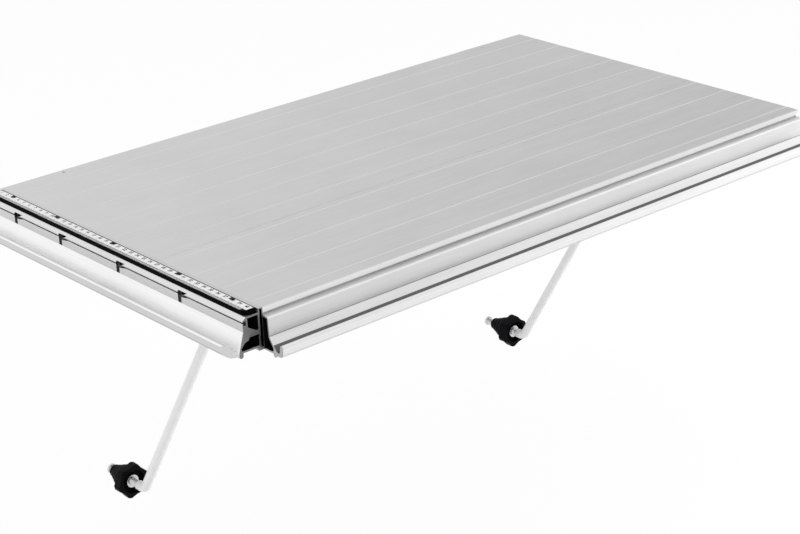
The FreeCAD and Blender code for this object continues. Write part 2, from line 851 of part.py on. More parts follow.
def add_cross_beam(side):
    """A box beam under the planks' feet, from the front rail to the saw-side rail."""
    centre = pivot_places[side]
    half = s.beam_width / 2
    wall = s.beam_wall
    outer = rectangle(centre - half, centre + half, saw_rail_bottom, rib_bottom)
    inner = rectangle(centre - half + wall, centre + half - wall, saw_rail_bottom + wall,
                      rib_bottom - wall)
    body = new_body(f"{side}_cross_beam")
    pad(body, "XZ_Plane", [outer, inner], saw_rail_front - s.front_inset, start=s.front_inset)
    half_spacing = s.bracket_screw_spacing / 2
    holes = [("circle", centre, s.pivot_depth + half_spacing * sign, hole_radius)
             for sign in (-1, 1)]
    cut(body, "XY_Plane", holes, wall + s.overrun * 2, start=saw_rail_bottom - s.overrun)
    for corner_x, corner_y, run_x, run_y in BEAM_ANGLES[side]:
        hole = ("circle", corner_y + screw_reach * run_y, angle_middle, hole_radius)
        near = corner_x - wall * 1.5 if run_x > 0 else corner_x - wall / 2
        cut(body, "YZ_Plane", [hole], wall * 2, start=near)


hole_radius = s.screw_radius + s.screw_clearance
angle_top = rib_bottom - s.end_flange_wall - s.angle_gap
angle_bottom = angle_top - s.angle_height
angle_middle = angle_top - s.angle_height / 2
screw_reach = (s.angle_leg + s.angle_wall) / 2

# Every angle: its corner, and the ways its two legs run from it along X and Y.
half_beam = s.beam_width / 2
ANGLES = {
    "front_left_angle": (as_length(ZERO), s.front_inset, 1, 1),
    "front_right_angle": (end_web_inside, s.front_inset, -1, 1),
    "rear_left_angle": (as_length(ZERO), saw_rail_front, 1, -1),
    "rear_right_angle": (end_web_inside, saw_rail_front, -1, -1),
}
BEAM_ANGLES = {
    "left": [
        (pivot_places["left"] + half_beam, s.front_inset, 1, 1),
        (pivot_places["left"] + half_beam, saw_rail_front, 1, -1),
    ],
    "right": [
        (pivot_places["right"] - half_beam, s.front_inset, -1, 1),
        (pivot_places["right"] - half_beam, saw_rail_front, -1, -1),
    ],
}
ALL_ANGLES = list(ANGLES.values()) + BEAM_ANGLES["left"] + BEAM_ANGLES["right"]


def angle_plan(corner_x, corner_y, run_x, run_y):
    """The L of an angle seen from above."""
    leg = s.angle_leg
    wall = s.angle_wall
    return [
        (corner_x, corner_y),
        (corner_x + leg * run_x, corner_y),
        (corner_x + leg * run_x, corner_y + wall * run_y),
        (corner_x + wall * run_x, corner_y + wall * run_y),
        (corner_x + wall * run_x, corner_y + leg * run_y),
        (corner_x, corner_y + leg * run_y),
    ]


def angle_body(label, places):
    """One or more angles, each with a hole in either leg."""
    body = new_body(label)
    for place in places:
        pad(body, "XY_Plane", [angle_plan(*place)], s.angle_height, start=angle_bottom)
    for corner_x, corner_y, run_x, run_y in places:
        across = corner_x + screw_reach * run_x
        along = corner_y + screw_reach * run_y
        start_y = corner_y - s.angle_wall
        start_x = corner_x - s.angle_wall
        cut(body, "XZ_Plane", [("circle", across, angle_middle, hole_radius)],
            s.angle_wall * 2, start=start_y)
        cut(body, "YZ_Plane", [("circle", along, angle_middle, hole_radius)],
            s.angle_wall * 2, start=start_x)


def add_angles():
    for label, place in ANGLES.items():
        angle_body(label, [place])


def drill_front_rail(body):
    """Holes in the front rail's inner wall for the screws of the front angles."""
    holes = [("circle", place[0] + screw_reach * place[2], angle_middle, hole_radius)
             for place in ALL_ANGLES if place[3] > 0]
    cut(body, "XZ_Plane", holes, s.front_wall + s.overrun,
        start=s.front_inset - s.front_wall - s.overrun / 2)


def drill_saw_rail(body):
    """Holes for the rear angles, the hooks and the two levelling screws."""
    wall = s.saw_rail_wall
    holes = [("circle", place[0] + screw_reach * place[2], angle_middle, hole_radius)
             for place in ALL_ANGLES if place[3] < 0]
    cut(body, "XZ_Plane", holes, wall + s.overrun, start=saw_rail_front - s.overrun / 2)
    cut(body, "XZ_Plane", [("circle", x, hook_middle, hole_radius) for x in hook_screw_places()],
        wall + s.overrun, start=s.plate_depth - wall - s.overrun / 2)
    cut(body, "XY_Plane", leveller_holes(), wall + s.overrun,
        start=-(s.plank_skin + wall + s.overrun / 2))


def drill_scale_rail(body):
    """Holes through the scale rail's inner fins for the screws of the left angles."""
    holes = [("circle", place[1] + screw_reach * place[3], angle_middle, hole_radius)
             for place in ANGLES.values() if place[2] > 0]
    depth = s.inner_fin + s.fin_gap + s.second_fin * 1.5
    cut(body, "YZ_Plane", holes, depth + s.overrun, start=-depth)


def drill_end_rail(body):
    """Holes in the end rail's web for the right angles and the countersunk plank screws."""
    holes = [("circle", place[1] + screw_reach * place[3], angle_middle, hole_radius)
             for place in ANGLES.values() if place[2] < 0]
    holes += [("circle", y, port_height, s.plank_screw_head) for y in plank_screw_places()]
    cut(body, "YZ_Plane", holes, s.end_rail_web + s.overrun * 2, start=end_web_inside - s.overrun)


def plank_screw_places():
    """The outermost screw port of each plank and one in the middle of the wider one."""
    passed = how_many(s.front_plank_depth - s.first_groove, s.groove_pitch)
    last = how_many(saw_rail_front - s.rib_foot - rib_centre, s.groove_pitch) - 1
    return [
        rib_centre,
        rib_centre + s.groove_pitch * (passed - 2),
        rib_centre + s.groove_pitch * passed,
        rib_centre + s.groove_pitch * (last - 1),
    ]


hook_places = (s.hook_offset, s.plate_length - s.hook_offset)
hook_top = -(s.plank_skin + (s.saw_rail_height - s.hook_height) / 2)
hook_middle = hook_top - s.hook_height / 2
leveller_depth = s.plate_depth - s.leveller_inset - s.saw_rail_wall


def leveller_holes():
    return [("circle", x, leveller_depth, s.leveller_radius) for x in hook_places]


def hook_screw_places():
    half = s.hook_screw_spacing / 2
    return [x + half * sign for x in hook_places for sign in (-1, 1)]


def y_screw(body, x, y, z, way, shank):
    """A button-head screw along Y: its head lies against the way the shank points."""
    low = y if way > 0 else y - shank
    pad(body, "XZ_Plane", [("circle", x, z, s.screw_radius)], shank, start=low)
    head_low = y - s.screw_head_height if way > 0 else y
    pad(body, "XZ_Plane", [("circle", x, z, s.screw_head_radius)], s.screw_head_height,
        start=head_low)
    socket_low = head_low if way > 0 else head_low + s.screw_head_height - s.socket_depth
    cut(body, "XZ_Plane", [("circle", x, z, s.socket_radius)], s.socket_depth, start=socket_low)


def x_screw(body, x, y, z, way, shank):
    """A button-head screw along X."""
    low = x if way > 0 else x - shank
    pad(body, "YZ_Plane", [("circle", y, z, s.screw_radius)], shank, start=low)
    head_low = x - s.screw_head_height if way > 0 else x
    pad(body, "YZ_Plane", [("circle", y, z, s.screw_head_radius)], s.screw_head_height,
        start=head_low)
    socket_low = head_low if way > 0 else head_low + s.screw_head_height - s.socket_depth
    cut(body, "YZ_Plane", [("circle", y, z, s.socket_radius)], s.socket_depth, start=socket_low)


def screw_group(label, screws):
    """A group of like screws, one solid each, gathered in one sub-part."""
    solids = []
    for number, (maker, arguments) in enumerate(screws, start=1):
        body = document.addObject("PartDesign::Body", f"{label}_{number}")
        for letter, corner in zip("xyz", CORNER):
            bind(body, f"Placement.Base.{letter}", corner)
        maker(body, *arguments)
        solids.append(body)
    group = document.addObject("Part::Compound", label)
    group.Label = label
    group.Links = solids
    SUBPARTS.append(group)


def add_screws():
    shank = s.angle_wall + s.screw_tail
    groups = {"corner_screws": ANGLES.values(),
              "beam_screws": BEAM_ANGLES["left"] + BEAM_ANGLES["right"]}
    for label, places in groups.items():
        screws = []
        for corner_x, corner_y, run_x, run_y in places:
            across = corner_x + screw_reach * run_x
            along = corner_y + screw_reach * run_y
            face_y = corner_y + s.angle_wall * run_y
            face_x = corner_x + s.angle_wall * run_x
            screws.append((y_screw, (across, face_y, angle_middle, -run_y, shank)))
            screws.append((x_screw, (face_x, along, angle_middle, -run_x, shank)))
        screw_group(label, screws)
    face = s.plate_depth + s.hook_wall
    hook_screws = [(y_screw, (x, face, hook_middle, -1, s.hook_wall + s.saw_rail_wall))
                   for x in hook_screw_places()]
    screw_group("hook_screws", hook_screws)
    plank_screws = [(plank_screw, (y,)) for y in plank_screw_places()]
    screw_group("plank_screws", plank_screws)
    screw_group("levelling_screws", [(levelling_screw, (x,)) for x in hook_places])
    spacing = s.bracket_screw_spacing / 2
    bracket_screws = [(z_screw, (x, s.pivot_depth + spacing * sign))
                      for x in pivot_places.values() for sign in (-1, 1)]
    screw_group("bracket_screws", bracket_screws)


def plank_screw(body, y):
    """A countersunk screw in a plank's port, its head flush with the end rail's web."""
    pad(body, "YZ_Plane", [("circle", y, port_height, s.plank_screw_radius)],
        s.plank_screw_length, start=s.plate_length - s.plank_screw_length)
    pad(body, "YZ_Plane", [("circle", y, port_height, s.plank_screw_head - s.screw_clearance)],
        s.end_rail_web, start=end_web_inside)
    cut(body, "YZ_Plane", [("circle", y, port_height, s.socket_radius)], s.socket_depth,
        start=s.plate_length - s.socket_depth)


def levelling_screw(body, x):
    """A grub screw in the table's saw-side edge, level with the table's top."""
    pad(body, "XY_Plane", [("circle", x, leveller_depth, s.leveller_radius)],
        s.leveller_length, start=-(s.leveller_length + s.groove_depth))
    cut(body, "XY_Plane", [("circle", x, leveller_depth, s.socket_radius / 2)], s.socket_depth,
        start=-(s.socket_depth + s.groove_depth))


def z_screw(body, x, y):
    """A button-head screw that holds a pivot bracket up against its cross beam."""
    base = saw_rail_bottom - s.bracket_wall
    pad(body, "XY_Plane", [("circle", x, y, s.screw_radius)],
        s.bracket_wall + s.beam_wall, start=base)
    pad(body, "XY_Plane", [("circle", x, y, s.screw_head_radius)], s.screw_head_height,
        start=base - s.screw_head_height)
    cut(body, "XY_Plane", [("circle", x, y, s.socket_radius)], s.socket_depth,
        start=base - s.screw_head_height)


def add_hook(side, x):
    """A steel hook plate on the saw-side face, with a lip that drops behind the saw's edge."""
    half = s.hook_width / 2
    near = s.plate_depth
    back = near + s.hook_wall
    tip = back + s.screw_head_height + s.hook_gap
    low = hook_top - s.hook_height
    outline = [
        (near, hook_top),
        (near, low),
        (back, low),
        (back, hook_top - s.hook_wall),
        (tip, hook_top - s.hook_wall),
        (tip, hook_top - s.hook_lip),
        (tip + s.hook_wall, hook_top - s.hook_lip),
        (tip + s.hook_wall, hook_top),
    ]
    body = new_body(f"{side}_hook")
    pad(body, "YZ_Plane", [outline], s.hook_width, start=x - half)
    spacing = s.hook_screw_spacing / 2
    holes = [("circle", x + spacing * sign, hook_middle, hole_radius) for sign in (-1, 1)]
    cut(body, "XZ_Plane", holes, s.hook_wall + s.overrun, start=near - s.overrun / 2)


eye_half = s.eye_width / 2
ear_inside = eye_half + s.friction_washer + s.washer_clearance * 2
ear_outside = ear_inside + s.ear_wall


def pivot_place(side):
    return (pivot_places[side], s.pivot_depth, -s.pivot_drop)


def add_bracket(side):
    """A U bracket under the cross beam: a base plate and two ears for the pivot bolt."""
    body = new_body(f"{side}_bracket", pivot_place(side))
    base_top = s.pivot_drop + saw_rail_bottom
    base_low = base_top - s.bracket_wall
    half = s.bracket_length / 2
    radius = s.ear_radius
    plate = rectangle(-ear_outside, ear_outside, -half, half)
    pad(body, "XY_Plane", [plate], s.bracket_wall, start=base_low)
    ear = [
        (-half / 2 - radius / 2, base_low),
        (-radius, ZERO, radius * 1.01),
        (ZERO, -radius, radius * 1.01),
        (radius, ZERO),
        (half / 2 + radius / 2, base_low),
    ]
    for low in (-ear_outside, ear_inside):
        pad(body, "YZ_Plane", [ear], s.ear_wall, start=low)
    bore = s.pivot_bolt_radius + s.pivot_bolt_clearance
    cut(body, "YZ_Plane", [("circle", ZERO, ZERO, bore)], (ear_outside + s.overrun) * 2,
        start=-(ear_outside + s.overrun))
    spacing = s.bracket_screw_spacing / 2
    holes = [("circle", ZERO, spacing * sign, hole_radius) for sign in (-1, 1)]
    cut(body, "XY_Plane", holes, s.bracket_wall + s.overrun * 2, start=base_low - s.overrun)


def hexagon(radius):
    """A hexagon by its corner radius, with a corner on the first axis."""
    corners = []
    for step in range(6):
        angle = math.radians(60 * step)
        corners.append((radius * math.cos(angle), radius * math.sin(angle)))
    return corners


def add_pivot(side):
    """The pivot bolt, its lock nut and the two friction washers beside the strut's eye."""
    place = pivot_place(side)
    nut_out = ear_outside + s.pivot_nut_height
    bolt = new_body(f"{side}_pivot_bolt", place)
    pad(bolt, "YZ_Plane", [("circle", ZERO, ZERO, s.pivot_bolt_radius)],
        ear_outside + nut_out + s.bolt_tail, start=-ear_outside)
    pad(bolt, "YZ_Plane", [("circle", ZERO, ZERO, s.pivot_head_radius)], s.pivot_head_height,
        start=-(ear_outside + s.pivot_head_height))
    cut(bolt, "YZ_Plane", [hexagon(s.pivot_bolt_radius * 0.8)], s.pivot_head_height / 2,
        start=-(ear_outside + s.pivot_head_height))
    nut = new_body(f"{side}_pivot_nut", place)
    bore = s.pivot_bolt_radius + s.pivot_bolt_clearance
    pad(nut, "YZ_Plane", [hexagon(s.pivot_nut_radius), ("circle", ZERO, ZERO, bore)],
        s.pivot_nut_height, start=ear_outside)
    washers = []
    for number, low in ((1, s.washer_clearance * -1 - eye_half - s.friction_washer),
                        (2, eye_half + s.washer_clearance)):
        body = document.addObject("PartDesign::Body", f"{side}_washer_{number}")
        for letter, corner, shift in zip("xyz", CORNER, place):
            bind(body, f"Placement.Base.{letter}", corner + shift)
        ring = [("circle", ZERO, ZERO, s.washer_radius), ("circle", ZERO, ZERO, bore)]
        pad(body, "YZ_Plane", ring, s.friction_washer, start=low)
        washers.append(body)
    group = document.addObject("Part::Compound", f"{side}_friction_washers")
    group.Label = f"{side}_friction_washers"
    group.Links = washers
    SUBPARTS.append(group)


leans = {"left": s.left_lean, "right": s.right_lean}
knob_places = {"left": s.left_knob_place, "right": s.right_knob_place}
knob_turns = {"left": s.left_knob_turn, "right": s.right_knob_turn}


def elbow(side):
    """Where the strut's leg and its level foot would meet, seen from the pivot."""
    lean = leans[side]
    return (s.strut_length * sine(lean), -(s.strut_length * cosine(lean)))


def strut_path(side):
    """The tube's centre line from the level foot up to the rim of the washers."""
    lean = leans[side]
    along, drop = elbow(side)
    setback = s.strut_bend_radius * tangent((90 - lean) / 2)
    reach = s.strut_length - s.washer_radius - s.neck_gap
    return [
        (along + s.strut_tail, drop),
        (along + setback, drop, -s.strut_bend_radius),
        (along - setback * sine(lean), drop + setback * cosine(lean)),
        (along - reach * sine(lean), drop + reach * cosine(lean)),
    ]


def add_strut(side):
    """A bent steel tube with an eye welded to its upper end."""
    body = new_body(f"{side}_strut", pivot_place(side))
    along, drop = elbow(side)
    spine = body.newObject("Sketcher::SketchObject", f"{side}_spine")
    plane = next(item for item in body.Origin.OriginFeatures if item.Role == "YZ_Plane")
    spine.AttachmentSupport = [(plane, "")]
    spine.MapMode = "FlatFace"
    draw_path(spine, strut_path(side), closed=False)
    rings = [("circle", ZERO, drop, s.strut_radius),
             ("circle", ZERO, drop, s.strut_radius - s.strut_wall)]
    profile = new_sketch(body, "XZ_Plane", rings, start=along + s.strut_tail)
    document.recompute()
    pipe = body.newObject("PartDesign::AdditivePipe", f"{side}_tube")
    pipe.Profile = profile
    pipe.Spine = spine
    pad(body, "YZ_Plane", [("circle", ZERO, ZERO, s.eye_radius)], s.eye_width, start=-eye_half)
    bore = s.pivot_bolt_radius + s.pivot_bolt_clearance + s.bush_wall
    cut(body, "YZ_Plane", [("circle", ZERO, ZERO, bore)], s.eye_width + s.overrun * 2,
        start=-(eye_half + s.overrun))
    bush = new_body(f"{side}_strut_bush", pivot_place(side))
    inner = s.pivot_bolt_radius + s.pivot_bolt_clearance
    pad(bush, "YZ_Plane", [("circle", ZERO, ZERO, bore), ("circle", ZERO, ZERO, inner)],
        s.eye_width, start=-eye_half)


def elbow_place(side):
    along, drop = elbow(side)
    return (pivot_places[side], s.pivot_depth + along, drop - s.pivot_drop)


def add_stud(side):
    """The threaded stud in the strut's foot and the nut that closes its end."""
    place = elbow_place(side)
    stud = new_body(f"{side}_stud", place)
    setback = s.strut_bend_radius * tangent((90 - leans[side]) / 2)
    inside = setback + s.overrun / 2
    plug = s.strut_radius - s.strut_wall
    turned = [
        (inside, ZERO),
        (s.stud_end, ZERO),
        (s.stud_end, s.stud_radius),
        (s.strut_tail, s.stud_radius),
        (s.strut_tail, plug),
        (inside, plug),
    ]
    turn(stud, turned, (ZERO, ZERO))
    nut = new_body(f"{side}_end_nut", place)
    low = s.stud_end + s.end_nut_inset - s.end_nut_height
    bevel = s.end_nut_radius - s.stud_radius
    cap = [
        (low, s.stud_radius),
        (low, s.end_nut_radius),
        (s.stud_end, s.end_nut_radius),
        (s.stud_end + s.end_nut_inset, s.end_nut_radius - bevel),
        (s.stud_end + s.end_nut_inset, ZERO),
        (s.stud_end, ZERO),
        (s.stud_end, s.stud_radius),
    ]
    turn(nut, cap, (ZERO, ZERO))


def knob_star(radius, valley, turned):
    """The grip's angular star, turned on its stud: blunt lobes with shallow valleys between."""
    half_lobe = 180 / LOBES
    flat = LOBE_FLAT_SHARE * half_lobe
    points = []
    for lobe in range(LOBES):
        middle = 90 + 2 * half_lobe * lobe
        for angle, reach in ((middle - flat, radius), (middle + flat, radius),
                             (middle + half_lobe, valley)):
            points.append((reach * cosine(turned + angle), reach * sine(turned + angle)))
    return points


def add_knob(side):
    """The star grip with its threaded metal insert, and the stepped cone that presses."""
    centre = knob_places[side]
    place = elbow_place(side)
    half = s.knob_thickness / 2
    thread = s.stud_radius + s.insert_clearance
    knob = new_body(f"{side}_knob", place)
    back = centre - half
    front = centre + half
    star = knob_star(s.knob_radius, s.knob_valley, knob_turns[side])
    pad(knob, "XZ_Plane", [star], s.knob_thickness, start=back)
    cut(knob, "XZ_Plane", [("circle", ZERO, ZERO, s.knob_recess_radius)],
        s.knob_recess_depth + s.overrun, start=back - s.overrun)
    cut(knob, "XZ_Plane", [("circle", ZERO, ZERO, s.insert_radius)],
        s.knob_thickness + s.overrun * 2, start=back - s.overrun)
    insert = new_body(f"{side}_knob_insert", place)
    stand = back + s.knob_recess_depth - s.insert_stand
    pad(insert, "XZ_Plane", [("circle", ZERO, ZERO, s.insert_radius),
                             ("circle", ZERO, ZERO, thread)], front - stand, start=stand)
    cone = new_body(f"{side}_pressure_cone", place)
    start = front + s.cone_gap
    rings = (s.cone_base_radius, s.cone_second_radius, s.cone_third_radius, s.cone_tip_radius)
    steps = [(start, thread)]
    for number, radius in enumerate(rings):
        near = start + s.cone_step * number
        steps.append((near, radius))
        steps.append((near + s.cone_step * CONE_STRAIGHT_SHARE, radius))
        steps.append((near + s.cone_step, radius * CONE_ROUND_SHARE))
    steps.append((start + s.cone_step * len(rings), thread))
    turn(cone, steps, (ZERO, ZERO))


def finish():
    """Recomputes, checks every object and writes one file per sub-part."""
    document.recompute()
    for item in document.Objects:
        if "Invalid" in item.State or "Error" in item.State:
            raise RuntimeError(f"{item.Label} failed: {item.State}")
    for subpart in SUBPARTS:
        if subpart.Shape.isNull() or not subpart.Shape.isValid():
            raise RuntimeError(f"{subpart.Label} has no valid shape")
    os.makedirs("parts", exist_ok=True)
    for subpart in SUBPARTS:
        subpart.Shape.exportStep(f"parts/{subpart.Label}.step")
        print(subpart.Label, len(subpart.Shape.Solids), round(subpart.Shape.Volume))


add_planks()
add_front_rail()
add_scale_rail()
add_scale()
add_end_rail()
add_saw_rail()
add_angles()
angle_body("beam_angles", BEAM_ANGLES["left"] + BEAM_ANGLES["right"])
add_screws()
for side, x in zip(("left", "right"), hook_places):
    add_cross_beam(side)
    add_hook(side, x)
    add_bracket(side)
    add_pivot(side)
    add_strut(side)
    add_stud(side)
    add_knob(side)
finish()
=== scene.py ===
# %% [markdown]
# # A grooved side table for a table saw
# The object is an aluminium side table that hangs on a saw. Two extruded planks make its top, two
# different edge rails close the front and the left end, and two bent struts with star knobs hold
# it from below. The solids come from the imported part, so this lesson only gives them their looks:
# softened edges, real screw heads and threads, a printed scale, and a finish for each material.

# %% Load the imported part
import json
import math

import bpy
from mathutils import Matrix, Vector
from mathutils.bvhtree import BVHTree


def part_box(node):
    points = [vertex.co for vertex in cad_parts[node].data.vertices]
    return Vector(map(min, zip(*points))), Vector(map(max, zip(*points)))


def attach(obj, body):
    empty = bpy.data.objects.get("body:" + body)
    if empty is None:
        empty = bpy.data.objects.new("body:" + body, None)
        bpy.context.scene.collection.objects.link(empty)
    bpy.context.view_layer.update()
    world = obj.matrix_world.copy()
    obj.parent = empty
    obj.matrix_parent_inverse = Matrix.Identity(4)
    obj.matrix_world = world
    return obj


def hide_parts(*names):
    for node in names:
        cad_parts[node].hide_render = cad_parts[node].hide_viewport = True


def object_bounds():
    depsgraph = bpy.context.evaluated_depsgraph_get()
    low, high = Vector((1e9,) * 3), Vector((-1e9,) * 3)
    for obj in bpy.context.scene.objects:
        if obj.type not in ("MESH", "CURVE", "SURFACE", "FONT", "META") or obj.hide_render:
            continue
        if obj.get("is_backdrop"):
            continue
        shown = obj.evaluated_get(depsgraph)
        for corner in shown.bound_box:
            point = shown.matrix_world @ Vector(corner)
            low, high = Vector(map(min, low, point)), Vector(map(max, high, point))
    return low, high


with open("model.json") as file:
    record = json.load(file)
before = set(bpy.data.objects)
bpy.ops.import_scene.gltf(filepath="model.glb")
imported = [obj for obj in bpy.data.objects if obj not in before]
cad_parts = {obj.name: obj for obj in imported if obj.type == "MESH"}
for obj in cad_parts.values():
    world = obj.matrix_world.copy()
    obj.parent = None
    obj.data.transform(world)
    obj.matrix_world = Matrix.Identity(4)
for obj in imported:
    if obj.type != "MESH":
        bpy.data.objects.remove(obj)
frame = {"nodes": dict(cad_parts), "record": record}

cad_low, cad_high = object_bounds()

# %% [markdown]
# ## Places
# All sizes of the real table are easiest to say in millimetres from the near left corner of its
# top. Blender works in metres from the part's own origin, so one small function turns the first
# into the second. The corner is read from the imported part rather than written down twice.

# %% Millimetres from the table's corner
MM = 0.001
plank_low, plank_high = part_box("front_plank")
corner = Vector((plank_low.x, plank_low.y, plank_high.z))


def spot(x, y, z):
    """A place in the part's frame, from millimetres measured from the table's near left corner."""
    return corner + Vector((x, y, z)) * MM


print("the corner is at", [round(value, 4) for value in corner])

# %% [markdown]
# ## Camera
# The photograph looks down on the near left corner from about 23 degrees above the table. The
# camera's place and turn were worked out from the table's straight edges. Its three directions
# are the columns of its turn: right, up, and backwards.

# %% Camera
CAMERA_LENS = 93.28
CAMERA_SENSOR = 36.0
CAMERA_PLACE = (-1.2639, -1.6852, 0.7013)
CAMERA_RIGHT = (0.75488, -0.65464, -0.0400)
CAMERA_UP = (0.28102, 0.26768, 0.9216)
CAMERA_BACK = (-0.59261, -0.70695, 0.3860)
camera_data = bpy.data.cameras.new("camera")
camera_data.lens = CAMERA_LENS
camera_data.sensor_width = CAMERA_SENSOR
camera = bpy.data.objects.new("camera", camera_data)
bpy.context.scene.collection.objects.link(camera)
camera_turn = Matrix((CAMERA_RIGHT, CAMERA_UP, CAMERA_BACK)).transposed().to_4x4()
camera.matrix_world = Matrix.Translation(CAMERA_PLACE) @ camera_turn
bpy.context.scene.camera = camera
bpy.context.scene.view_settings.view_transform = "Standard"
print("camera lens", CAMERA_LENS, "mm")

# %% [markdown]
# ## Node helpers
# A finish is a small net of shader nodes. Two helpers keep the recipes readable: one adds a node
# and fills in or links its inputs, the other starts a node group with named inputs and outputs.

# %% Node helpers
def add_node(tree, kind, values=None, **settings):
    """Adds a shader node. values maps an input to a number, a colour or another node's output."""
    made = tree.nodes.new("ShaderNode" + kind)
    for name, value in settings.items():
        setattr(made, name, value)
    for socket, value in (values or {}).items():
        if isinstance(value, bpy.types.NodeSocket):
            tree.links.new(value, made.inputs[socket])
        else:
            made.inputs[socket].default_value = value
    return made


def start_group(name, inputs, outputs):
    """A new shader group, its input node and its output node."""
    group = bpy.data.node_groups.new(name, "ShaderNodeTree")
    for label, kind, value in inputs:
        socket = group.interface.new_socket(label, in_out="INPUT", socket_type=kind)
        if value is not None:
            socket.default_value = value
    for label, kind in outputs:
        group.interface.new_socket(label, in_out="OUTPUT", socket_type=kind)
    return group, group.nodes.new("NodeGroupInput"), group.nodes.new("NodeGroupOutput")


def rescale(tree, value, low, high, to_low, to_high):
    """Maps a value from one range to another, held at both ends."""
    limits = {"Value": value, "From Min": low, "From Max": high,
              "To Min": to_low, "To Max": to_high}
    return add_node(tree, "MapRange", limits).outputs["Result"]


def blend_colours(tree, share, first, second):
    """Mixes two colours by a share from 0 to 1."""
    mixed = add_node(tree, "Mix", {0: share, 6: first, 7: second}, data_type="RGBA")
    return mixed.outputs[2]


VECTOR, NUMBER = "NodeSocketVector", "NodeSocketFloat"
print("node helpers are ready")

# %% [markdown]
# ## World and floor
# The photograph is cut out on pure white. The world is white for rays that come from the camera,
# and a little dimmer as a light. A mirror-like surface sees a white room with two duller walls,
# as a studio has: satin metal shows where it is by such slow changes along its length. A radial
# gradient gives the bearing of each ray, and a ramp gives the wall's level there. The floor is
# pale, plain, and low enough for the struts to swing over it. It glows a little for the same
# rays, so that it joins the white behind it and still keeps a soft shadow.

# %% White for the camera and for reflections
def shown_rays(tree):
    """1 for rays from the camera, from a glossy surface or through glass."""
    path = add_node(tree, "LightPath")
    glossy = add_node(tree, "Math", {0: path.outputs["Is Camera Ray"],
                                     1: path.outputs["Is Glossy Ray"]}, operation="MAXIMUM")
    return add_node(tree, "Math", {0: glossy.outputs[0],
                                   1: path.outputs["Is Transmission Ray"]},
                    operation="MAXIMUM").outputs[0]


WORLD_LIGHT = 0.62
# Pairs of a bearing, from 0 to 1 once round, and the wall's level there.
WALLS = ((0.0, 1.0), (0.22, 0.9), (0.33, 0.7), (0.43, 1.0), (0.53, 1.0), (0.60, 0.66), (0.68, 1.0))
world = bpy.data.worlds.new("white studio")
bpy.context.scene.world = world
world.use_nodes = True
world_tree = world.node_tree
backdrop = world_tree.nodes["Background"]
backdrop.inputs["Color"].default_value = (1.0, 1.0, 1.0, 1.0)
around = add_node(world_tree, "TexCoord").outputs["Generated"]
bearing = add_node(world_tree, "TexGradient", {"Vector": around}, gradient_type="RADIAL")
walls = add_node(world_tree, "ValToRGB", {"Fac": bearing.outputs["Fac"]})
steps = walls.color_ramp.elements
while len(steps) < len(WALLS):
    steps.new(0.5)
for step, (position, level) in zip(steps, WALLS):
    step.position = position
    step.color = (level, level, level, 1.0)
seen_path = add_node(world_tree, "LightPath")
seen_level = rescale(world_tree, seen_path.outputs["Is Camera Ray"], 0.0, 1.0,
                     walls.outputs["Color"], 1.0)
world_strength = rescale(world_tree, shown_rays(world_tree), 0.0, 1.0, WORLD_LIGHT, seen_level)
world_tree.links.new(world_strength, backdrop.inputs["Strength"])
print("world light", WORLD_LIGHT)

# %% Floor
FLOOR_HEIGHT = -0.392
FLOOR_SIZE = 30.0
FLOOR_TONE = 0.96
FLOOR_GLOW = 0.93
bpy.ops.object.select_all(action="DESELECT")
bpy.ops.mesh.primitive_plane_add(size=FLOOR_SIZE, location=(0.0, 0.0, FLOOR_HEIGHT))
floor = bpy.context.object
floor.name = "floor"
floor_paint = bpy.data.materials.new("pale floor")
floor_paint.use_nodes = True
floor_tree = floor_paint.node_tree
floor_tree.nodes.clear()
floor_glow_share = rescale(floor_tree, shown_rays(floor_tree), 0.0, 1.0, 0.0, FLOOR_GLOW)
floor_colour = (FLOOR_TONE, FLOOR_TONE, FLOOR_TONE, 1.0)
floor_matt = add_node(floor_tree, "BsdfDiffuse", {"Color": floor_colour})
floor_light = add_node(floor_tree, "Emission", {"Color": (1.0, 1.0, 1.0, 1.0)})
floor_mix = add_node(floor_tree, "MixShader", {0: floor_glow_share, 1: floor_matt.outputs[0],
                                               2: floor_light.outputs[0]})
add_node(floor_tree, "OutputMaterial", {"Surface": floor_mix.outputs[0]})
floor.data.materials.append(floor_paint)
floor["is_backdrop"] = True
print("floor at", FLOOR_HEIGHT, "m")

# %% [markdown]
# ## Lamps
# The left end of the table is the brightest part of the photograph, its long front gets slowly
# lighter to the right and its undersides are darker. So one large soft lamp stands behind and to
# the left, a second hangs above, and a third stands in front of the right end. The room's white
# already shows in the metal, and a lamp would be added to it. So the lamps don't show in
# mirror-like surfaces, and no face turns plain white from any side.

# %% Lamps
def add_lamp(name, place, aim, width, height, power):
    """A rectangular soft lamp that faces a point."""
    data = bpy.data.lights.new(name, "AREA")
    data.shape = "RECTANGLE"
    data.size = width
    data.size_y = height
    data.energy = power
    lamp = bpy.data.objects.new(name, data)
    lamp.visible_glossy = False
    bpy.context.scene.collection.objects.link(lamp)
    turn = (Vector(aim) - Vector(place)).to_track_quat("-Z", "Y")
    lamp.matrix_world = Matrix.Translation(place) @ turn.to_matrix().to_4x4()
    print("lamp", name, power, "W")


add_lamp("left softbox", (-1.9, 1.1, 0.5), (-0.35, -0.2, -0.05), 2.2, 1.6, 10.0)
add_lamp("overhead softbox", (-0.4, -0.5, 2.2), (0.0, -0.2, 0.0), 3.0, 2.4, 17.0)
add_lamp("front softbox", (1.25, -1.25, 0.3), (0.35, -0.4, -0.05), 1.6, 1.0, 20.0)

# %% [markdown]
# ## Shared surface effects
# An extrusion shows long fine lines where it slid through its die. Everything that has been
# handled shows soft patches and a few thin marks, and moulded or sprayed parts show a fine
# grain. Each effect is a group that only puts out values, so that every material can place it
# at its own scale and strength.

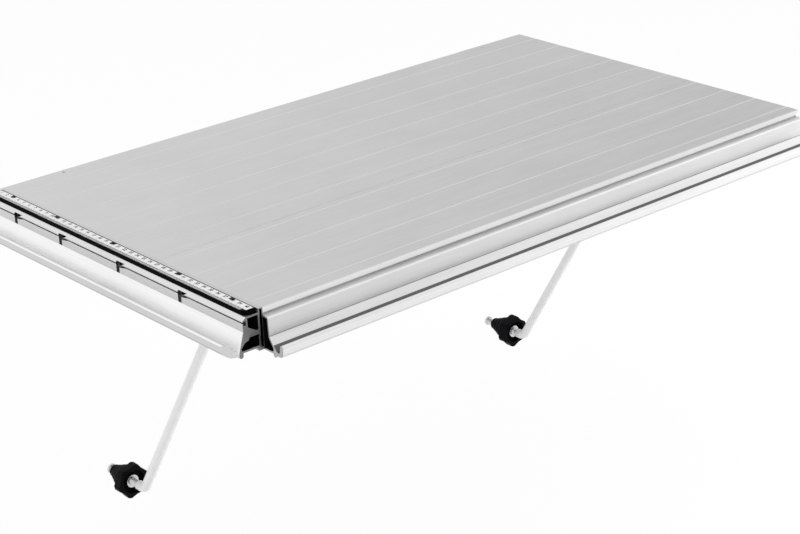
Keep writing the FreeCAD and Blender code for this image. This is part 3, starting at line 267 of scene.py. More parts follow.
# %% A group that puts out noise
def noise_group(name, output, sizes, detail, roughness, low, high):
    """A group whose output is noise from 0 to 1.

    sizes maps the group's inputs for the size of one spot, in metres, to their usual values. They
    are Size, or Length and Width for spots that are stretched along X. Noise from low to high
    becomes 0 to 1, so a narrow range gives sparse spots.
    """
    inputs = [("Vector", VECTOR, None)] + [(label, NUMBER, size) for label, size in sizes.items()]
    group, given, out = start_group(name, inputs, [(output, NUMBER)])
    scales = [add_node(group, "Math", {0: 1.0, 1: given.outputs[label]},
                       operation="DIVIDE").outputs[0] for label in sizes]
    place, scale = given.outputs["Vector"], scales[0]
    if len(scales) == 2:
        along, across = scales
        stretch = add_node(group, "CombineXYZ", {0: along, 1: across, 2: across}).outputs[0]
        place = add_node(group, "VectorMath", {0: place, 1: stretch},
                         operation="MULTIPLY").outputs[0]
        scale = 1.0
    noise = add_node(group, "TexNoise", {"Vector": place, "Scale": scale, "Detail": detail,
                                         "Roughness": roughness})
    group.links.new(rescale(group, noise.outputs["Fac"], low, high, 0.0, 1.0), out.inputs[output])
    print("group", name)
    return group


# %% Lines, patches, marks and grain
drawn_lines = noise_group("drawn lines", "Lines", {"Length": 0.2, "Width": 0.001},
                          detail=3.0, roughness=0.6, low=0.3, high=0.7)
soft_patches = noise_group("soft patches", "Patches", {"Size": 0.05},
                           detail=4.0, roughness=0.55, low=0.32, high=0.68)
handling_marks = noise_group("handling marks", "Marks", {"Length": 0.03, "Width": 0.0006},
                             detail=1.0, roughness=0.4, low=0.70, high=0.76)
fine_grain = noise_group("fine grain", "Grain", {"Size": 0.0008},
                         detail=2.0, roughness=0.5, low=0.3, high=0.7)

# %% [markdown]
# ## Aluminium
# The planks and rails are anodised aluminium: a satin metal whose grey hardly changes, with fine
# lines along the way it was extruded. Each way a face points has its own tone, and faces that
# point along the extrusion keep only a share of it: this is painted light and shade by facing.
# Two attributes, set further down on softened pieces, add to it: edge marks rounded corners, where
# handling has polished the metal, and painted occlusion is high inside chambers and channels,
# where it paints their shade dark.

# %% Helpers for a material
def start_material(name, metallic, **fixed):
    """A material with its Principled shader, and with inputs that are the same all over."""
    material = bpy.data.materials.new(name)
    material.use_nodes = True
    shader = material.node_tree.nodes["Principled BSDF"]
    shader.inputs["Metallic"].default_value = metallic
    for label, value in fixed.items():
        shader.inputs[label.replace("_", " ")].default_value = value
    return material, material.node_tree, shader


def place_group(tree, group, **values):
    """Adds a group node to a material, with Object coordinates unless a Vector is given."""
    made = tree.nodes.new("ShaderNodeGroup")
    made.node_tree = group
    if "Vector" not in values:
        values["Vector"] = add_node(tree, "TexCoord").outputs["Object"]
    for label, value in values.items():
        if isinstance(value, bpy.types.NodeSocket):
            tree.links.new(value, made.inputs[label])
        else:
            made.inputs[label].default_value = value
    return made.outputs[0]


def grey(value, blue=1.0):
    """A neutral colour, or one a little bluer."""
    return (value, value, min(1.0, value * blue), 1.0)


print("material helpers are ready")

# %% Extruded aluminium
# Painted light and shade: each way a face points gets its own grey.
def tone_by_facing(tree, height, tones):
    """A grey that goes from tone to tone as a face's normal turns from downwards to upwards."""
    ramp = add_node(tree, "ValToRGB", {"Fac": rescale(tree, height, -1.0, 1.0, 0.0, 1.0)})
    steps = ramp.color_ramp.elements
    while len(steps) < len(tones):
        steps.new(0.5)
    for step, (facing, tone) in zip(steps, tones):
        step.position = (facing + 1.0) / 2
        step.color = grey(tone)
    return ramp.outputs["Color"]


# Faces that point along the extrusion get a darker share of their tone, as painted shade by facing.
END_FACE_FROM, END_FACE_FULL = 0.6, 0.9
# The darkest tone of the painted shade in chambers and channels.
PAINTED_SHADE_TONE = 0.03


def extruded_aluminium(name, along, tones, edge_tone, roughness, shade_range, end_face_share=1.0, metallic=1.0):
    """Anodised aluminium drawn along X or Y.

    tones pairs the height of a face's normal with a tone, which is painted light and shade by
    facing, roughness is that between and on the drawn lines, shade_range gives the painted
    occlusion values between which a face turns dark with painted shade, and end_face_share is
    the share of the tone, painted shade, that faces pointing along the extrusion keep.
    """
    material, tree, shader = start_material(name, metallic)
    coordinates = add_node(tree, "TexCoord")
    turn = math.radians(90) if along == "Y" else 0.0
    turned = add_node(tree, "Mapping", {"Vector": coordinates.outputs["Object"],
                                        "Rotation": (0.0, 0.0, turn)})
    lines = place_group(tree, drawn_lines, Vector=turned.outputs[0], Length=0.25, Width=0.0011)
    streaks = place_group(tree, drawn_lines, Vector=turned.outputs[0], Length=0.06, Width=0.004)
    patches = place_group(tree, soft_patches, Size=0.09)
    marks = place_group(tree, handling_marks, Vector=turned.outputs[0])
    both = add_node(tree, "Math", {0: lines, 1: streaks}, operation="ADD")
    drawn = rescale(tree, both.outputs[0], 0.4, 1.6, 0.0, 1.0)
    normal = add_node(tree, "SeparateXYZ", {0: coordinates.outputs["Normal"]})
    # Painted light and shade by facing: the grey follows the height of the face's normal.
    plain = tone_by_facing(tree, normal.outputs["Z"], tones)
    endwise = add_node(tree, "Math", {0: normal.outputs[along]}, operation="ABSOLUTE").outputs[0]
    end_face_scale = rescale(tree, endwise, END_FACE_FROM, END_FACE_FULL, 1.0, end_face_share)
    plain = add_node(tree, "VectorMath", {0: plain, 3: end_face_scale}, operation="SCALE").outputs[0]
    edge = add_node(tree, "Attribute", attribute_name="edge").outputs["Fac"]
    wear = rescale(tree, patches, 0.0, 1.0, 0.5, 1.0)
    worn = add_node(tree, "Math", {0: edge, 1: wear}, operation="MULTIPLY").outputs[0]
    rounded = blend_colours(tree, worn, plain, grey(edge_tone))
    lined = rescale(tree, drawn, 0.0, 1.0, 0.955, 1.03)
    clouded = rescale(tree, patches, 0.0, 1.0, 1.0, 0.965)
    marked = rescale(tree, marks, 0.0, 1.0, 1.0, 1.09)
    # Painted shade: faces that the piece itself hides from most directions turn dark.
    painted_occlusion = add_node(tree, "Attribute", attribute_name="painted_occlusion").outputs["Fac"]
    painted_shade = rescale(tree, painted_occlusion, *shade_range, 1.0, PAINTED_SHADE_TONE)
    shares = lined
    for share in (clouded, marked, painted_shade):
        shares = add_node(tree, "Math", {0: shares, 1: share}, operation="MULTIPLY").outputs[0]
    finished = add_node(tree, "VectorMath", {0: rounded, 3: shares}, operation="SCALE")
    tree.links.new(finished.outputs[0], shader.inputs["Base Color"])
    tree.links.new(rescale(tree, drawn, 0.0, 1.0, *roughness), shader.inputs["Roughness"])
    bump = add_node(tree, "Bump", {"Height": drawn, "Strength": 0.12, "Distance": 0.0001})
    tree.links.new(bump.outputs[0], shader.inputs["Normal"])
    print("material", name)
    return material


# The tones are painted light and shade for each way a face points, and the shade range sets where
# painted shade falls in hollows.
table_metal = extruded_aluminium(
    "satin table aluminium", "X",
    tones=((-0.4, 0.75), (-0.12, 0.86), (0.2, 0.86), (0.42, 0.74), (0.93, 0.74), (0.975, 0.70)),
    edge_tone=0.92, roughness=(0.36, 0.48), shade_range=(0.90, 0.98))
front_metal = extruded_aluminium(
    "anodised rail, drawn lengthways", "X",
    tones=((-0.9, 0.50), (-0.2, 0.78), (0.01, 0.78), (0.045, 0.68), (0.2, 0.68), (0.42, 0.74),
           (0.93, 0.86), (0.975, 0.74)),
    edge_tone=0.97, roughness=(0.30, 0.42), shade_range=(0.32, 0.48), end_face_share=0.6, metallic=0.5)
side_metal = extruded_aluminium(
    "anodised rail, drawn crossways", "Y",
    tones=((-0.4, 0.50), (-0.12, 0.69), (0.1, 0.69), (0.17, 1.0), (0.23, 1.0), (0.27, 1.0),
           (0.45, 1.0), (0.70, 0.90), (0.975, 0.66)),
    edge_tone=0.86, roughness=(0.34, 0.46), shade_range=(0.885, 0.925), end_face_share=0.35)

# %% [markdown]
# ## Plastics, paint and steel
# The knobs, their stepped cones and the scale's carrier are black plastic: the knobs with a fine
# moulded grain, the carrier smoother. The struts are sprayed light grey, the brackets and hooks
# are black powder coat, and the small parts are zinc-plated steel with its cloudy blue and
# yellow tint.

# %% Sprayed and moulded finishes
def grained_finish(name, tones, grain_size, bump_height, roughness, blue=1.0, **fixed):
    """Plastic, lacquer or powder coat: a fine pebble, soft patches, and lighter worn edges.

    tones are those of the surface, of its lighter grains and of worn edges.
    """
    material, tree, shader = start_material(name, 0.0, **fixed)
    plain, light, worn_tone = (grey(tone, blue) for tone in tones)
    grain = place_group(tree, fine_grain, Size=grain_size)
    patches = place_group(tree, soft_patches, Size=0.03)
    mottled = add_node(tree, "Math", {0: grain, 1: patches}, operation="MULTIPLY")
    base = blend_colours(tree, mottled.outputs[0], plain, light)
    edge = add_node(tree, "Attribute", attribute_name="edge")
    worn = add_node(tree, "Math", {0: edge.outputs["Fac"], 1: patches}, operation="MULTIPLY")
    finished = blend_colours(tree, worn.outputs[0], base, worn_tone)
    tree.links.new(finished, shader.inputs["Base Color"])
    tree.links.new(rescale(tree, patches, 0.0, 1.0, *roughness), shader.inputs["Roughness"])
    bump = add_node(tree, "Bump", {"Height": grain, "Strength": 0.35, "Distance": bump_height})
    tree.links.new(bump.outputs[0], shader.inputs["Normal"])
    print("material", name)
    return material


knob_plastic = grained_finish(
    "black knob plastic", tones=(0.0012, 0.0025, 0.0055), grain_size=0.0007,
    bump_height=0.00008, roughness=(0.40, 0.54), blue=1.5, Specular_IOR_Level=0.05)
carrier_plastic = grained_finish(
    "black carrier plastic", tones=(0.0012, 0.0025, 0.004), grain_size=0.0005,
    bump_height=0.00003, roughness=(0.50, 0.62), blue=1.05, Specular_IOR_Level=0.02)
bearing_plastic = grained_finish(
    "grey bearing plastic", tones=(0.07, 0.10, 0.13), grain_size=0.0008,
    bump_height=0.00004, roughness=(0.42, 0.55))
powder_coat = grained_finish(
    "black powder coat", tones=(0.020, 0.034, 0.06), grain_size=0.0009,
    bump_height=0.00010, roughness=(0.42, 0.58))
strut_lacquer = grained_finish(
    "light grey strut lacquer", tones=(0.86, 0.92, 0.80), grain_size=0.0012,
    bump_height=0.00004, roughness=(0.28, 0.4))
tape_white = grained_finish(
    "white scale tape", tones=(0.80, 0.86, 0.84), grain_size=0.0009,
    bump_height=0.00001, roughness=(0.34, 0.46))
strip_grey = grained_finish(
    "grey scale strip", tones=(0.68, 0.76, 0.72), grain_size=0.0009,
    bump_height=0.00001, roughness=(0.34, 0.46))
print_ink = grained_finish(
    "black printing ink", tones=(0.010, 0.022, 0.02), grain_size=0.0004,
    bump_height=0.00001, roughness=(0.4, 0.55), Specular_IOR_Level=0.1)

# %% Zinc-plated steel
def zinc_steel(name, tone, roughness):
    """Bright zinc with a cloudy bluish and yellowish tint."""
    material, tree, shader = start_material(name, 1.0)
    patches = place_group(tree, soft_patches, Size=0.006)
    broad = place_group(tree, soft_patches, Size=0.02)
    cool = (tone * 0.96, tone * 0.99, tone * 1.03, 1.0)
    warm = (tone, tone * 0.985, tone * 0.92, 1.0)
    tinted = blend_colours(tree, broad, cool, warm)
    cloudy = rescale(tree, patches, 0.0, 1.0, 0.0, 0.3)
    mottled = blend_colours(tree, cloudy, tinted, grey(tone * 0.75))
    edge = add_node(tree, "Attribute", attribute_name="edge")
    finished = blend_colours(tree, edge.outputs["Fac"], mottled, grey(min(1.0, tone * 1.25)))
    tree.links.new(finished, shader.inputs["Base Color"])
    tree.links.new(rescale(tree, patches, 0.0, 1.0, *roughness), shader.inputs["Roughness"])
    bump = add_node(tree, "Bump", {"Height": patches, "Strength": 0.15, "Distance": 0.0001})
    tree.links.new(bump.outputs[0], shader.inputs["Normal"])
    print("material", name)
    return material


angle_steel = zinc_steel("zinc-plated angle steel", 0.60, roughness=(0.30, 0.45))
fastener_steel = zinc_steel("zinc-plated fastener steel", 0.68, roughness=(0.22, 0.36))

# %% [markdown]
# ## Which finish goes where
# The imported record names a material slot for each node. Most slots have one finish. The rails
# share a slot, but their fine lines run different ways, and the strip beside the white tape is
# greyer than it, so those nodes are told apart by name.

# %% Finishes by slot
FINISHES = {
    "table_aluminium": table_metal,
    "rail_aluminium": side_metal,
    "carrier_plastic": carrier_plastic,
    "tape_white": tape_white,
    "knob_plastic": knob_plastic,
    "bearing_plastic": bearing_plastic,
    "bracket_steel": powder_coat,
    "strut_paint": strut_lacquer,
    "angle_steel": angle_steel,
    "fastener_steel": fastener_steel,
}
NODE_FINISHES = {
    "front_rail": front_metal,
    "saw_side_rail": front_metal,
    "scale_edge_strip": strip_grey,
}
slot_of = {part["node"]: part["material_slot"] for part in frame["record"]["subparts"]}


def finish_of(node):
    """The finish for a node: its own where it has one, and otherwise its slot's."""
    return NODE_FINISHES.get(node) or FINISHES[slot_of[node]]


for node, piece in frame["nodes"].items():
    piece.data.materials.clear()
    piece.data.materials.append(finish_of(node))
print("finishes given to", len(frame["nodes"]), "nodes")

# %% [markdown]
# ## Softened edges
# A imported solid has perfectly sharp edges, and a real one never has: an extrusion leaves its die
# with small radii, moulded parts have large ones, and sheet metal is deburred. A copy of a
# node's mesh is merged, freed from the lines between its flat triangles, and bevelled along its
# sharp edges. The bevel gives its new faces the piece's second material slot, which is how they
# are found and marked with the edge attribute. Weighted normals keep the large faces flat.

# %% Softened copies
SAME_CORNER = 0.000002
FLAT_ANGLE = math.radians(0.5)


def body_of(node):
    """The body that a node rides on."""
    return next(name for name, members in frame["record"]["behaviour"]["bodies"].items()
                if node in members)


def select_only(piece):
    """Makes a piece the only selected one, and the active one."""
    bpy.ops.object.select_all(action="DESELECT")
    piece.select_set(True)
    bpy.context.view_layer.objects.active = piece


def merged_copy(node, name):
    """A copy of a node's mesh with joined corners and whole flat faces, selected and active."""
    piece = bpy.data.objects.new(name, frame["nodes"][node].data.copy())
    bpy.context.scene.collection.objects.link(piece)
    select_only(piece)
    bpy.ops.object.mode_set(mode="EDIT")
    bpy.ops.mesh.select_all(action="SELECT")
    bpy.ops.mesh.customdata_custom_splitnormals_clear()
    bpy.ops.mesh.remove_doubles(threshold=SAME_CORNER)
    bpy.ops.mesh.dissolve_limited(angle_limit=FLAT_ANGLE)
    bpy.ops.object.mode_set(mode="OBJECT")
    return piece


def mark_edges(piece):
    """Sets the edge attribute to 1 on the faces in the second material slot, and empties it."""
    marks = piece.data.attributes.new("edge", "FLOAT", "FACE")
    for polygon in piece.data.polygons:
        marks.data[polygon.index].value = float(polygon.material_index)
        polygon.material_index = 0
    piece.data.materials.pop(index=1)


# Looks out of each face, used to paint shade where the piece itself blocks them.
LOOKS = [(math.radians(turn), math.radians(tilt))
         for tilt in (20, 45, 70) for turn in range(0, 360, 45)]
LOOK_START = 0.00005
LOOK_REACH = 0.03


def mark_cavities(piece):
    """Sets the painted occlusion attribute to the share of looks out of each face that the piece
    blocks; the aluminium turns it into painted shade.
    """
    tree = BVHTree.FromPolygons([vertex.co for vertex in piece.data.vertices],
                                [list(polygon.vertices) for polygon in piece.data.polygons])
    marks = piece.data.attributes.new("painted_occlusion", "FLOAT", "FACE")
    for polygon in piece.data.polygons:
        side = polygon.normal.orthogonal().normalized()
        start = polygon.center + polygon.normal * LOOK_START
        blocked = 0
        for turn, tilt in LOOKS:
            look = Matrix.Rotation(turn, 3, polygon.normal) @ side
            look = look * math.sin(tilt) + polygon.normal * math.cos(tilt)
            if tree.ray_cast(start, look, LOOK_REACH)[0]:
                blocked += 1
        marks.data[polygon.index].value = blocked / len(LOOKS)


def keep_flat(piece):
    """Smooth shading that leaves large faces flat."""
    bpy.ops.object.shade_smooth_by_angle(angle=math.radians(40))
    piece.modifiers.new("flat faces", "WEIGHTED_NORMAL").keep_sharp = True
    bpy.ops.object.modifier_apply(modifier="flat faces")


def soften(node, radius, steps=2, sharpness=35.0, shape=None):
    """Replaces a node with a copy whose sharp edges are rounded by a radius in millimetres.

    An edge is sharp where its faces meet at more than sharpness degrees. shape is a function
    that reworks the copy before that.
    """
    piece = merged_copy(node, node + "_finished")
    if shape:
        shape(piece)
    piece.data.materials.append(piece.data.materials[0])
    bpy.ops.object.mode_set(mode="EDIT")
    bpy.ops.mesh.select_mode(type="EDGE")
    bpy.ops.mesh.select_all(action="DESELECT")
    bpy.ops.mesh.edges_select_sharp(sharpness=math.radians(sharpness))
    bpy.ops.mesh.bevel(offset=radius * MM, segments=steps, affect="EDGES", clamp_overlap=True,
                       material=1)
    bpy.ops.object.mode_set(mode="OBJECT")
    mark_edges(piece)
    # Bakes the share of blocked looks, which the aluminium paints as shade.
    mark_cavities(piece)
    keep_flat(piece)
    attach(piece, body_of(node))
    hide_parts(node)
    print(piece.name, len(piece.data.polygons), "faces")
    return piece


# %% Planks, rails, carrier and sheet parts
FLAT_PART_SHARPNESS = 14.0
SOFT_RADII = {
    "front_plank": 0.15,
    "rear_plank": 0.15,
    "scale_rail": 0.25,
    "end_rail": 0.3,
    "saw_side_rail": 0.4,
    "scale_carrier": 0.35,
    "left_cross_beam": 0.5,
    "right_cross_beam": 0.5,
    "left_hook": 0.6,
    "right_hook": 0.6,
    "left_bracket": 0.6,
    "right_bracket": 0.6,
    "front_left_angle": 0.4,
    "front_right_angle": 0.4,
    "rear_left_angle": 0.4,
    "rear_right_angle": 0.4,
    "beam_angles": 0.4,
}
for node, radius in SOFT_RADII.items():
    soften(node, radius, sharpness=FLAT_PART_SHARPNESS)

# %% [markdown]
# ## The front rail
# The long rail ends in an upturned lip whose outer edge is well rounded, because clamps
# slide along it. Its skirt is cut in two along its length, so that the lower half, which stands
# in the channel behind the lip, takes the same painted shade as the channel, while the lip's
# inner side is kept free of painted shade.

# %% Front rail
SKIRT_MIDDLE = -31.4
LIP_RADIUS = 1.8
LIP_INSIDE = -18.0


def select_edges(piece, wanted):
    """Selects the edges whose two ends both pass a test."""
    for edge in piece.data.edges:
        edge.select = all(wanted(piece.data.vertices[index].co) for index in edge.vertices)


def shape_front_rail(piece):
    """Cuts the skirt along its middle and rounds the lip's outer edge."""
    bpy.ops.object.mode_set(mode="EDIT")
    bpy.ops.mesh.select_all(action="SELECT")
    bpy.ops.mesh.bisect(plane_co=spot(0, 0, SKIRT_MIDDLE), plane_no=(0, 0, 1))
    bpy.ops.mesh.select_mode(type="EDGE")
    bpy.ops.mesh.select_all(action="DESELECT")
    bpy.ops.object.mode_set(mode="OBJECT")
    points = [vertex.co for vertex in piece.data.vertices]
    outside = min(point.y for point in points) + 0.00001
    rim = max(point.z for point in points if point.y < outside) - 0.00001
    select_edges(piece, lambda end: end.y < outside and end.z > rim)
    bpy.ops.object.mode_set(mode="EDIT")
    bpy.ops.mesh.bevel(offset=LIP_RADIUS * MM, segments=5, affect="EDGES")
    bpy.ops.object.mode_set(mode="OBJECT")
    print("the lip's outer edge has a radius of", LIP_RADIUS, "mm")


front_rail = soften("front_rail", 0.3, shape=shape_front_rail, sharpness=FLAT_PART_SHARPNESS)
# Painted shade is taken off the faces on the lip's inside that look back towards the rail, so they
# stay light.
painted_occlusion_faces = front_rail.data.attributes["painted_occlusion"].data
for polygon in front_rail.data.polygons:
    if polygon.normal.y > 0.9 and polygon.center.y < spot(0, LIP_INSIDE, 0).y:
        painted_occlusion_faces[polygon.index].value = 0.0

# %% [markdown]
# ## The printed scale
# The white tape and the grey strip beside it carry a printed scale: a tick for each millimetre,
# longer ones for five and ten, a small number for each centimetre, and five black bars. Ink lies
# on its surface as a very thin plate. Both strips get a copy whose top is pressed down by the
# ink's thickness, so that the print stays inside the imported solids' box, and each mark is a
# closed plate that is sunk a little into its strip. One tick is modelled and an array repeats
# it. A number starts as a text object, which is turned into a mesh before it gets its place.

# %% Strips with room for the ink
INK = 0.06
INK_SUNK = 0.04


def press_down(node):
    """Replaces a strip with a softened copy whose top is lower by the ink's thickness."""
    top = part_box(node)[1].z
    piece = soften(node, 0.08)
    for vertex in piece.data.vertices:
        if vertex.co.z > top - 0.1 * MM:
            vertex.co.z -= INK * MM
    print(node, "is pressed down by", INK, "mm")


for node in ("scale_tape", "scale_edge_strip"):
    press_down(node)

# %% Ticks and bars
tape_low, tape_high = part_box("scale_tape")
strip_low, strip_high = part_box("scale_edge_strip")
ink_top = tape_high.z
print_marks = []


def ink_plate(x, y, width, length):
    """One thin closed plate of ink, from its lowest x and its middle y, in metres."""
    thickness = (INK + INK_SUNK) * MM
    bpy.ops.object.select_all(action="DESELECT")
    bpy.ops.mesh.primitive_cube_add(size=1.0, scale=(length, width, thickness),
                                    location=(x + length / 2, y, ink_top - thickness / 2))
    bpy.ops.object.transform_apply(location=True, rotation=False, scale=True)
    print_marks.append(bpy.context.object)
    return bpy.context.object


TICK_WIDTH = 0.25


def tick_row(x, length, first, pitch, count):
    """A row of equal ticks along the scale. Lengths along it are in millimetres."""
    tick = ink_plate(x, spot(0, first, 0).y, TICK_WIDTH * MM, length)
    row = tick.modifiers.new("row", "ARRAY")
    row.use_relative_offset = False
    row.use_constant_offset = True
    row.constant_offset_displace = (0.0, pitch * MM, 0.0)
    row.count = count
    bpy.ops.object.modifier_apply(modifier="row")
    print("ticks every", pitch, "mm:", count)


tape_edge = tape_low.x + 0.1 * MM
tick_row(strip_low.x, strip_high.x - strip_low.x, first=9, pitch=1, count=392)
tick_row(tape_edge, 0.7 * MM, first=15, pitch=10, count=39)
tick_row(tape_edge, 1.3 * MM, first=10, pitch=10, count=40)
BAR_START = -9.0
BAR_PAST_TAPE = 0.2
BARS = ((32, 6), (109, 7), (210, 7), (303.5, 7), (380.5, 6))
bar_start = spot(BAR_START, 0, 0).x
bar_length = tape_high.x - spot(BAR_START - BAR_PAST_TAPE, 0, 0).x
for y, width in BARS:
    ink_plate(bar_start, spot(0, y, 0).y, width * MM, bar_length)
print("bars:", len(BARS))

# %% Numbers
SCALE_END = 410
NUMBER_PITCH = 10
NUMBER_COUNT = 40
NUMBER_SIZE = 4.6
NUMBER_MIDDLE = -8.4
NUMBER_BOLD = 0.12
NUMBER_TURN = Matrix(((0, 1, 0), (-1, 0, 0), (0, 0, 1))).to_4x4()


def number_mesh(value, y):
    """A number printed on the tape, read from the scale's outer side."""
    bpy.ops.object.select_all(action="DESELECT")
    bpy.ops.object.text_add()
    words = bpy.context.object
    words.data.body = str(value)
    words.data.size = NUMBER_SIZE * MM
    words.data.align_x = "CENTER"
    words.data.align_y = "CENTER"
    words.data.resolution_u = 2
    words.data.offset = NUMBER_BOLD * MM
    words.data.extrude = (INK + INK_SUNK) / 2 * MM
    bpy.ops.object.convert(target="MESH")
    made = bpy.context.object
    place = spot(NUMBER_MIDDLE, y, 0)
    place.z = ink_top - (INK + INK_SUNK) / 2 * MM
    made.data.transform(Matrix.Translation(place) @ NUMBER_TURN)
    print_marks.append(made)


def join_all(pieces):
    """Joins pieces into the first of them."""
    select_only(pieces[0])
    for piece in pieces:
        piece.select_set(True)
    bpy.ops.object.join()
    return bpy.context.object


for value in range(1, NUMBER_COUNT + 1):
    number_mesh(value, SCALE_END - NUMBER_PITCH * value)
scale_print = join_all(print_marks)
scale_print.name = "scale_print"
bpy.ops.object.mode_set(mode="EDIT")
bpy.ops.mesh.select_all(action="SELECT")
bpy.ops.mesh.remove_doubles(threshold=0.0000005)
bpy.ops.mesh.normals_make_consistent(inside=False)
bpy.ops.object.mode_set(mode="OBJECT")
scale_print.data.materials.clear()
scale_print.data.materials.append(print_ink)
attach(scale_print, "table")
print("scale_print", len(scale_print.data.polygons), "faces")

# %% [markdown]
# ## Knobs, cones and other round parts
# A star knob is one moulding with six broad lobes and well rounded edges. The stepped cone in
# front of it centres itself in a keyhole of the saw's base. Both feel soft in the hand, so their
# radii are larger than those of the metal parts.

# %% Round parts
ROUND_PART_SHARPNESS = 40.0
# Each part's radius in millimetres, and its bevel's steps.
ROUND_PARTS = {
    "knob": (1.1, 4),
    "pressure_cone": (0.5, 3),
    "knob_insert": (0.3, 2),
    "end_nut": (0.7, 3),
    "pivot_bolt": (0.4, 2),
    "pivot_nut": (0.35, 2),
    "friction_washers": (0.15, 2),
}
for side in ("left", "right"):
    for part, (radius, steps) in ROUND_PARTS.items():
        soften(f"{side}_{part}", radius, steps=steps, sharpness=ROUND_PART_SHARPNESS)

# %% [markdown]
# ## Screws
# Screws with domed heads and hexagon sockets hold the angles, beams, brackets, hooks and planks.
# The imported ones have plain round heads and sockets. A copy of each node is separated into its
# loose solids, and each solid tells where its screw's head is, which way it points and how large
# it is. One screw is then spun from half its outline, its socket is cut with a six-sided bar, and
# it is copied to each place with its own mesh.

# %% Measuring a packed screw
def read_screw(points):
    """Where the top of a screw's head is, which way it points out, and its main sizes."""
    low = Vector([min(point[axis] for point in points) for axis in range(3)])
    high = Vector([max(point[axis] for point in points) for axis in range(3)])
    size, middle = high - low, (low + high) / 2
    axis = min(range(3), key=lambda one: abs(size[one - 1] - size[one - 2]))
    away = Vector([float(one != axis) for one in range(3)])
    reach = [((point - middle) * away).length for point in points]
    head = [point[axis] for point, far in zip(points, reach) if far > max(reach) * 0.95]
    outwards = 1.0 if high[axis] - max(head) < min(head) - low[axis] else -1.0
    tip = low[axis] if outwards > 0 else high[axis]
    shank = max(far for point, far in zip(points, reach) if abs(point[axis] - tip) < 0.00002)
    top = middle.copy()
    top[axis] = max(head) if outwards > 0 else min(head)
    sizes = (max(reach), max(head) - min(head), shank, size[axis])
    return top, (Vector((1, 1, 1)) - away) * outwards, sizes


def screws_in(node):
    """The measured screws of a node."""
    select_only(merged_copy(node, node + "_measured"))
    bpy.ops.object.mode_set(mode="EDIT")
    bpy.ops.mesh.select_all(action="SELECT")
    bpy.ops.mesh.separate(type="LOOSE")
    bpy.ops.object.mode_set(mode="OBJECT")
    shells = list(bpy.context.selected_objects)
    found = [read_screw([vertex.co.copy() for vertex in shell.data.vertices]) for shell in shells]
    for shell in shells:
        bpy.data.objects.remove(shell)
    return found


# %% One button-head screw
SOCKET_SHARE = 0.41
SOCKET_DEPTH = 1.4
TIP_CHAMFER = 0.4
# The head's outline as shares of its radius and of its height, from the middle of its top.
DOME = ((0.0, 0.0), (0.5, 0.0), (0.72, 0.10), (0.88, 0.32), (0.97, 0.62), (1.0, 0.9), (1.0, 1.0))


def button_screw(name, head_radius, head_height, shank_radius, length):
    """A screw that points down from the origin, which is the middle of its head's top."""
    outline = [(share * head_radius, -drop * head_height) for share, drop in DOME]
    chamfer = TIP_CHAMFER * MM
    outline += [(shank_radius, -head_height), (shank_radius, chamfer - length),
                (shank_radius - chamfer, -length), (0.0, -length)]
    half = bpy.data.meshes.new(name)
    half.from_pydata([(x, 0, z) for x, z in outline],
                     [(corner, corner + 1) for corner in range(len(outline) - 1)], [])
    screw = bpy.data.objects.new(name, half)
    bpy.context.scene.collection.objects.link(screw)
    select_only(screw)
    bpy.ops.object.mode_set(mode="EDIT")
    bpy.ops.mesh.select_all(action="SELECT")
    bpy.ops.mesh.spin(steps=24, angle=math.radians(360), center=(0, 0, 0), axis=(0, 0, 1))
    bpy.ops.mesh.select_all(action="SELECT")
    bpy.ops.mesh.remove_doubles(threshold=0.00001)
    bpy.ops.mesh.normals_make_consistent(inside=False)
    bpy.ops.object.mode_set(mode="OBJECT")
    bpy.ops.mesh.primitive_cylinder_add(vertices=6, radius=SOCKET_SHARE * head_radius,
                                        depth=2 * SOCKET_DEPTH * MM)
    key = bpy.context.object
    select_only(screw)
    socket = screw.modifiers.new("socket", "BOOLEAN")
    socket.operation = "DIFFERENCE"
    socket.object = key
    bpy.ops.object.modifier_apply(modifier="socket")
    bpy.data.objects.remove(key)
    bpy.ops.object.shade_smooth_by_angle(angle=math.radians(30))
    return screw


# %% Screws at their places
for node in ("corner_screws", "beam_screws", "bracket_screws", "hook_screws", "plank_screws"):
    found = screws_in(node)
    pattern = button_screw(node + "_pattern", *found[0][2])
    copies = []
    for top, outwards, sizes in found:
        copy = bpy.data.objects.new(node + "_copy", pattern.data.copy())
        turn = Vector((0, 0, 1)).rotation_difference(outwards).to_matrix().to_4x4()
        copy.data.transform(Matrix.Translation(top) @ turn)
        bpy.context.scene.collection.objects.link(copy)
        copies.append(copy)
    bpy.data.objects.remove(pattern)
    screws = join_all(copies)
    screws.name = node + "_finished"
    screws.data.materials.clear()
    screws.data.materials.append(fastener_steel)
    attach(screws, body_of(node))
    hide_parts(node)
    print(screws.name, len(found), "screws,", len(screws.data.polygons), "faces")

# %% [markdown]
# ## Threaded studs
# Each strut ends in an M8 stud, and the knob runs along its thread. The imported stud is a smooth
# bar. Here it becomes a core with one helical ridge: a small triangle is swept once round for
# each turn with a screw modifier, its two ends are filled, and the core ends in a chamfer at
# both ends. The stud points along Y, so it is modelled there and needs no turning.

# %% Threaded studs
THREAD_PITCH = 1.25
THREAD_DEPTH = 0.62
THREAD_STEPS = 20
RIDGE_SHARE = 0.46
RIDGE_SUNK = 0.05
CREST_ROOM = 0.05
CORE_CHAMFER = 0.4


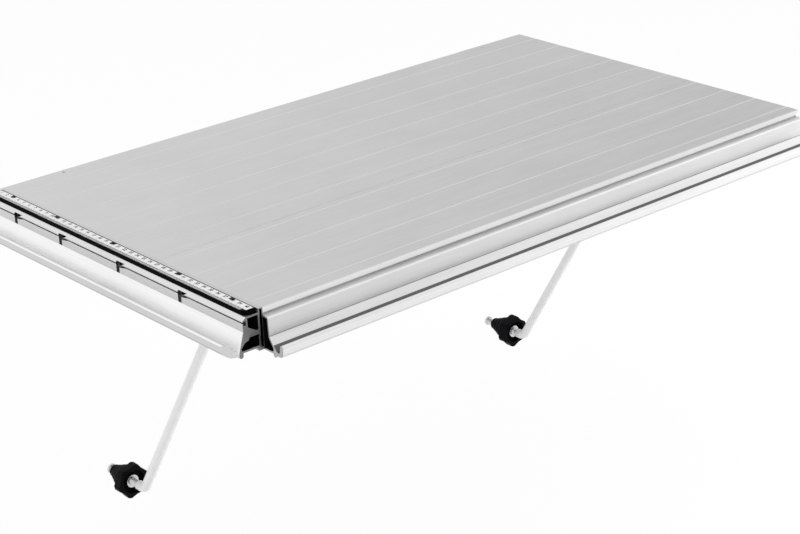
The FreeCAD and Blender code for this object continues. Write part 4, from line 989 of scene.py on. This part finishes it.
def thread_core(name, centre, radius, low, high):
    """A round bar along Y with chamfered ends."""
    bpy.ops.object.select_all(action="DESELECT")
    bpy.ops.mesh.primitive_cylinder_add(vertices=40, radius=radius, depth=high - low,
                                        location=(centre.x, (low + high) / 2, centre.z),
                                        rotation=(math.radians(90), 0, 0))
    core = bpy.context.object
    core.name = name
    bpy.ops.object.transform_apply(location=True, rotation=True, scale=False)
    bpy.ops.object.mode_set(mode="EDIT")
    bpy.ops.mesh.select_mode(type="EDGE")
    bpy.ops.mesh.select_all(action="DESELECT")
    bpy.ops.mesh.edges_select_sharp(sharpness=math.radians(60))
    bpy.ops.mesh.bevel(offset=CORE_CHAMFER * MM, segments=2, affect="EDGES")
    bpy.ops.object.mode_set(mode="OBJECT")
    return core


def helical_ridge(name, centre, root, crest, low, turns):
    """A closed ridge that winds round a bar along Y."""
    half = THREAD_PITCH * MM * RIDGE_SHARE
    profile = bpy.data.meshes.new(name)
    profile.from_pydata([(root, -half, 0), (crest, 0, 0), (root, half, 0)],
                        [(0, 1), (1, 2), (2, 0)], [])
    ridge = bpy.data.objects.new(name, profile)
    bpy.context.scene.collection.objects.link(ridge)
    select_only(ridge)
    winding = ridge.modifiers.new("winding", "SCREW")
    winding.axis = "Y"
    winding.screw_offset = THREAD_PITCH * MM
    winding.iterations = turns
    winding.steps = THREAD_STEPS
    winding.render_steps = THREAD_STEPS
    bpy.ops.object.modifier_apply(modifier="winding")
    ridge.data.transform(Matrix.Translation((centre.x, low, centre.z)))
    bpy.ops.object.mode_set(mode="EDIT")
    bpy.ops.mesh.select_all(action="SELECT")
    bpy.ops.mesh.remove_doubles(threshold=0.000001)
    bpy.ops.mesh.fill_holes(sides=3)
    bpy.ops.mesh.select_all(action="SELECT")
    bpy.ops.mesh.normals_make_consistent(inside=False)
    bpy.ops.object.mode_set(mode="OBJECT")
    return ridge


for side in ("left", "right"):
    node = f"{side}_stud"
    low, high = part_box(node)
    middle = (low + high) / 2
    crest = min(high.x - low.x, high.z - low.z) / 2 - CREST_ROOM * MM
    root = crest - THREAD_DEPTH * MM
    core = thread_core(node + "_threaded", middle, root + RIDGE_SUNK * MM, low.y, high.y)
    turns = int((high.y - low.y) / (THREAD_PITCH * MM)) - 1
    start = low.y + THREAD_PITCH * MM / 2
    ridge = helical_ridge(node + "_ridge", middle, root, crest, start, turns)
    core = join_all([core, ridge])
    bpy.ops.object.shade_smooth_by_angle(angle=math.radians(35))
    core.data.materials.clear()
    core.data.materials.append(fastener_steel)
    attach(core, body_of(node))
    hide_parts(node)
    print(core.name, turns, "turns,", len(core.data.polygons), "faces")

# %% Sizes and finish
new_low, new_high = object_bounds()
sizes = {"cad": [list(cad_low), list(cad_high)], "visual": [list(new_low), list(new_high)]}
print("size", [round(value, 4) for value in new_high - new_low])
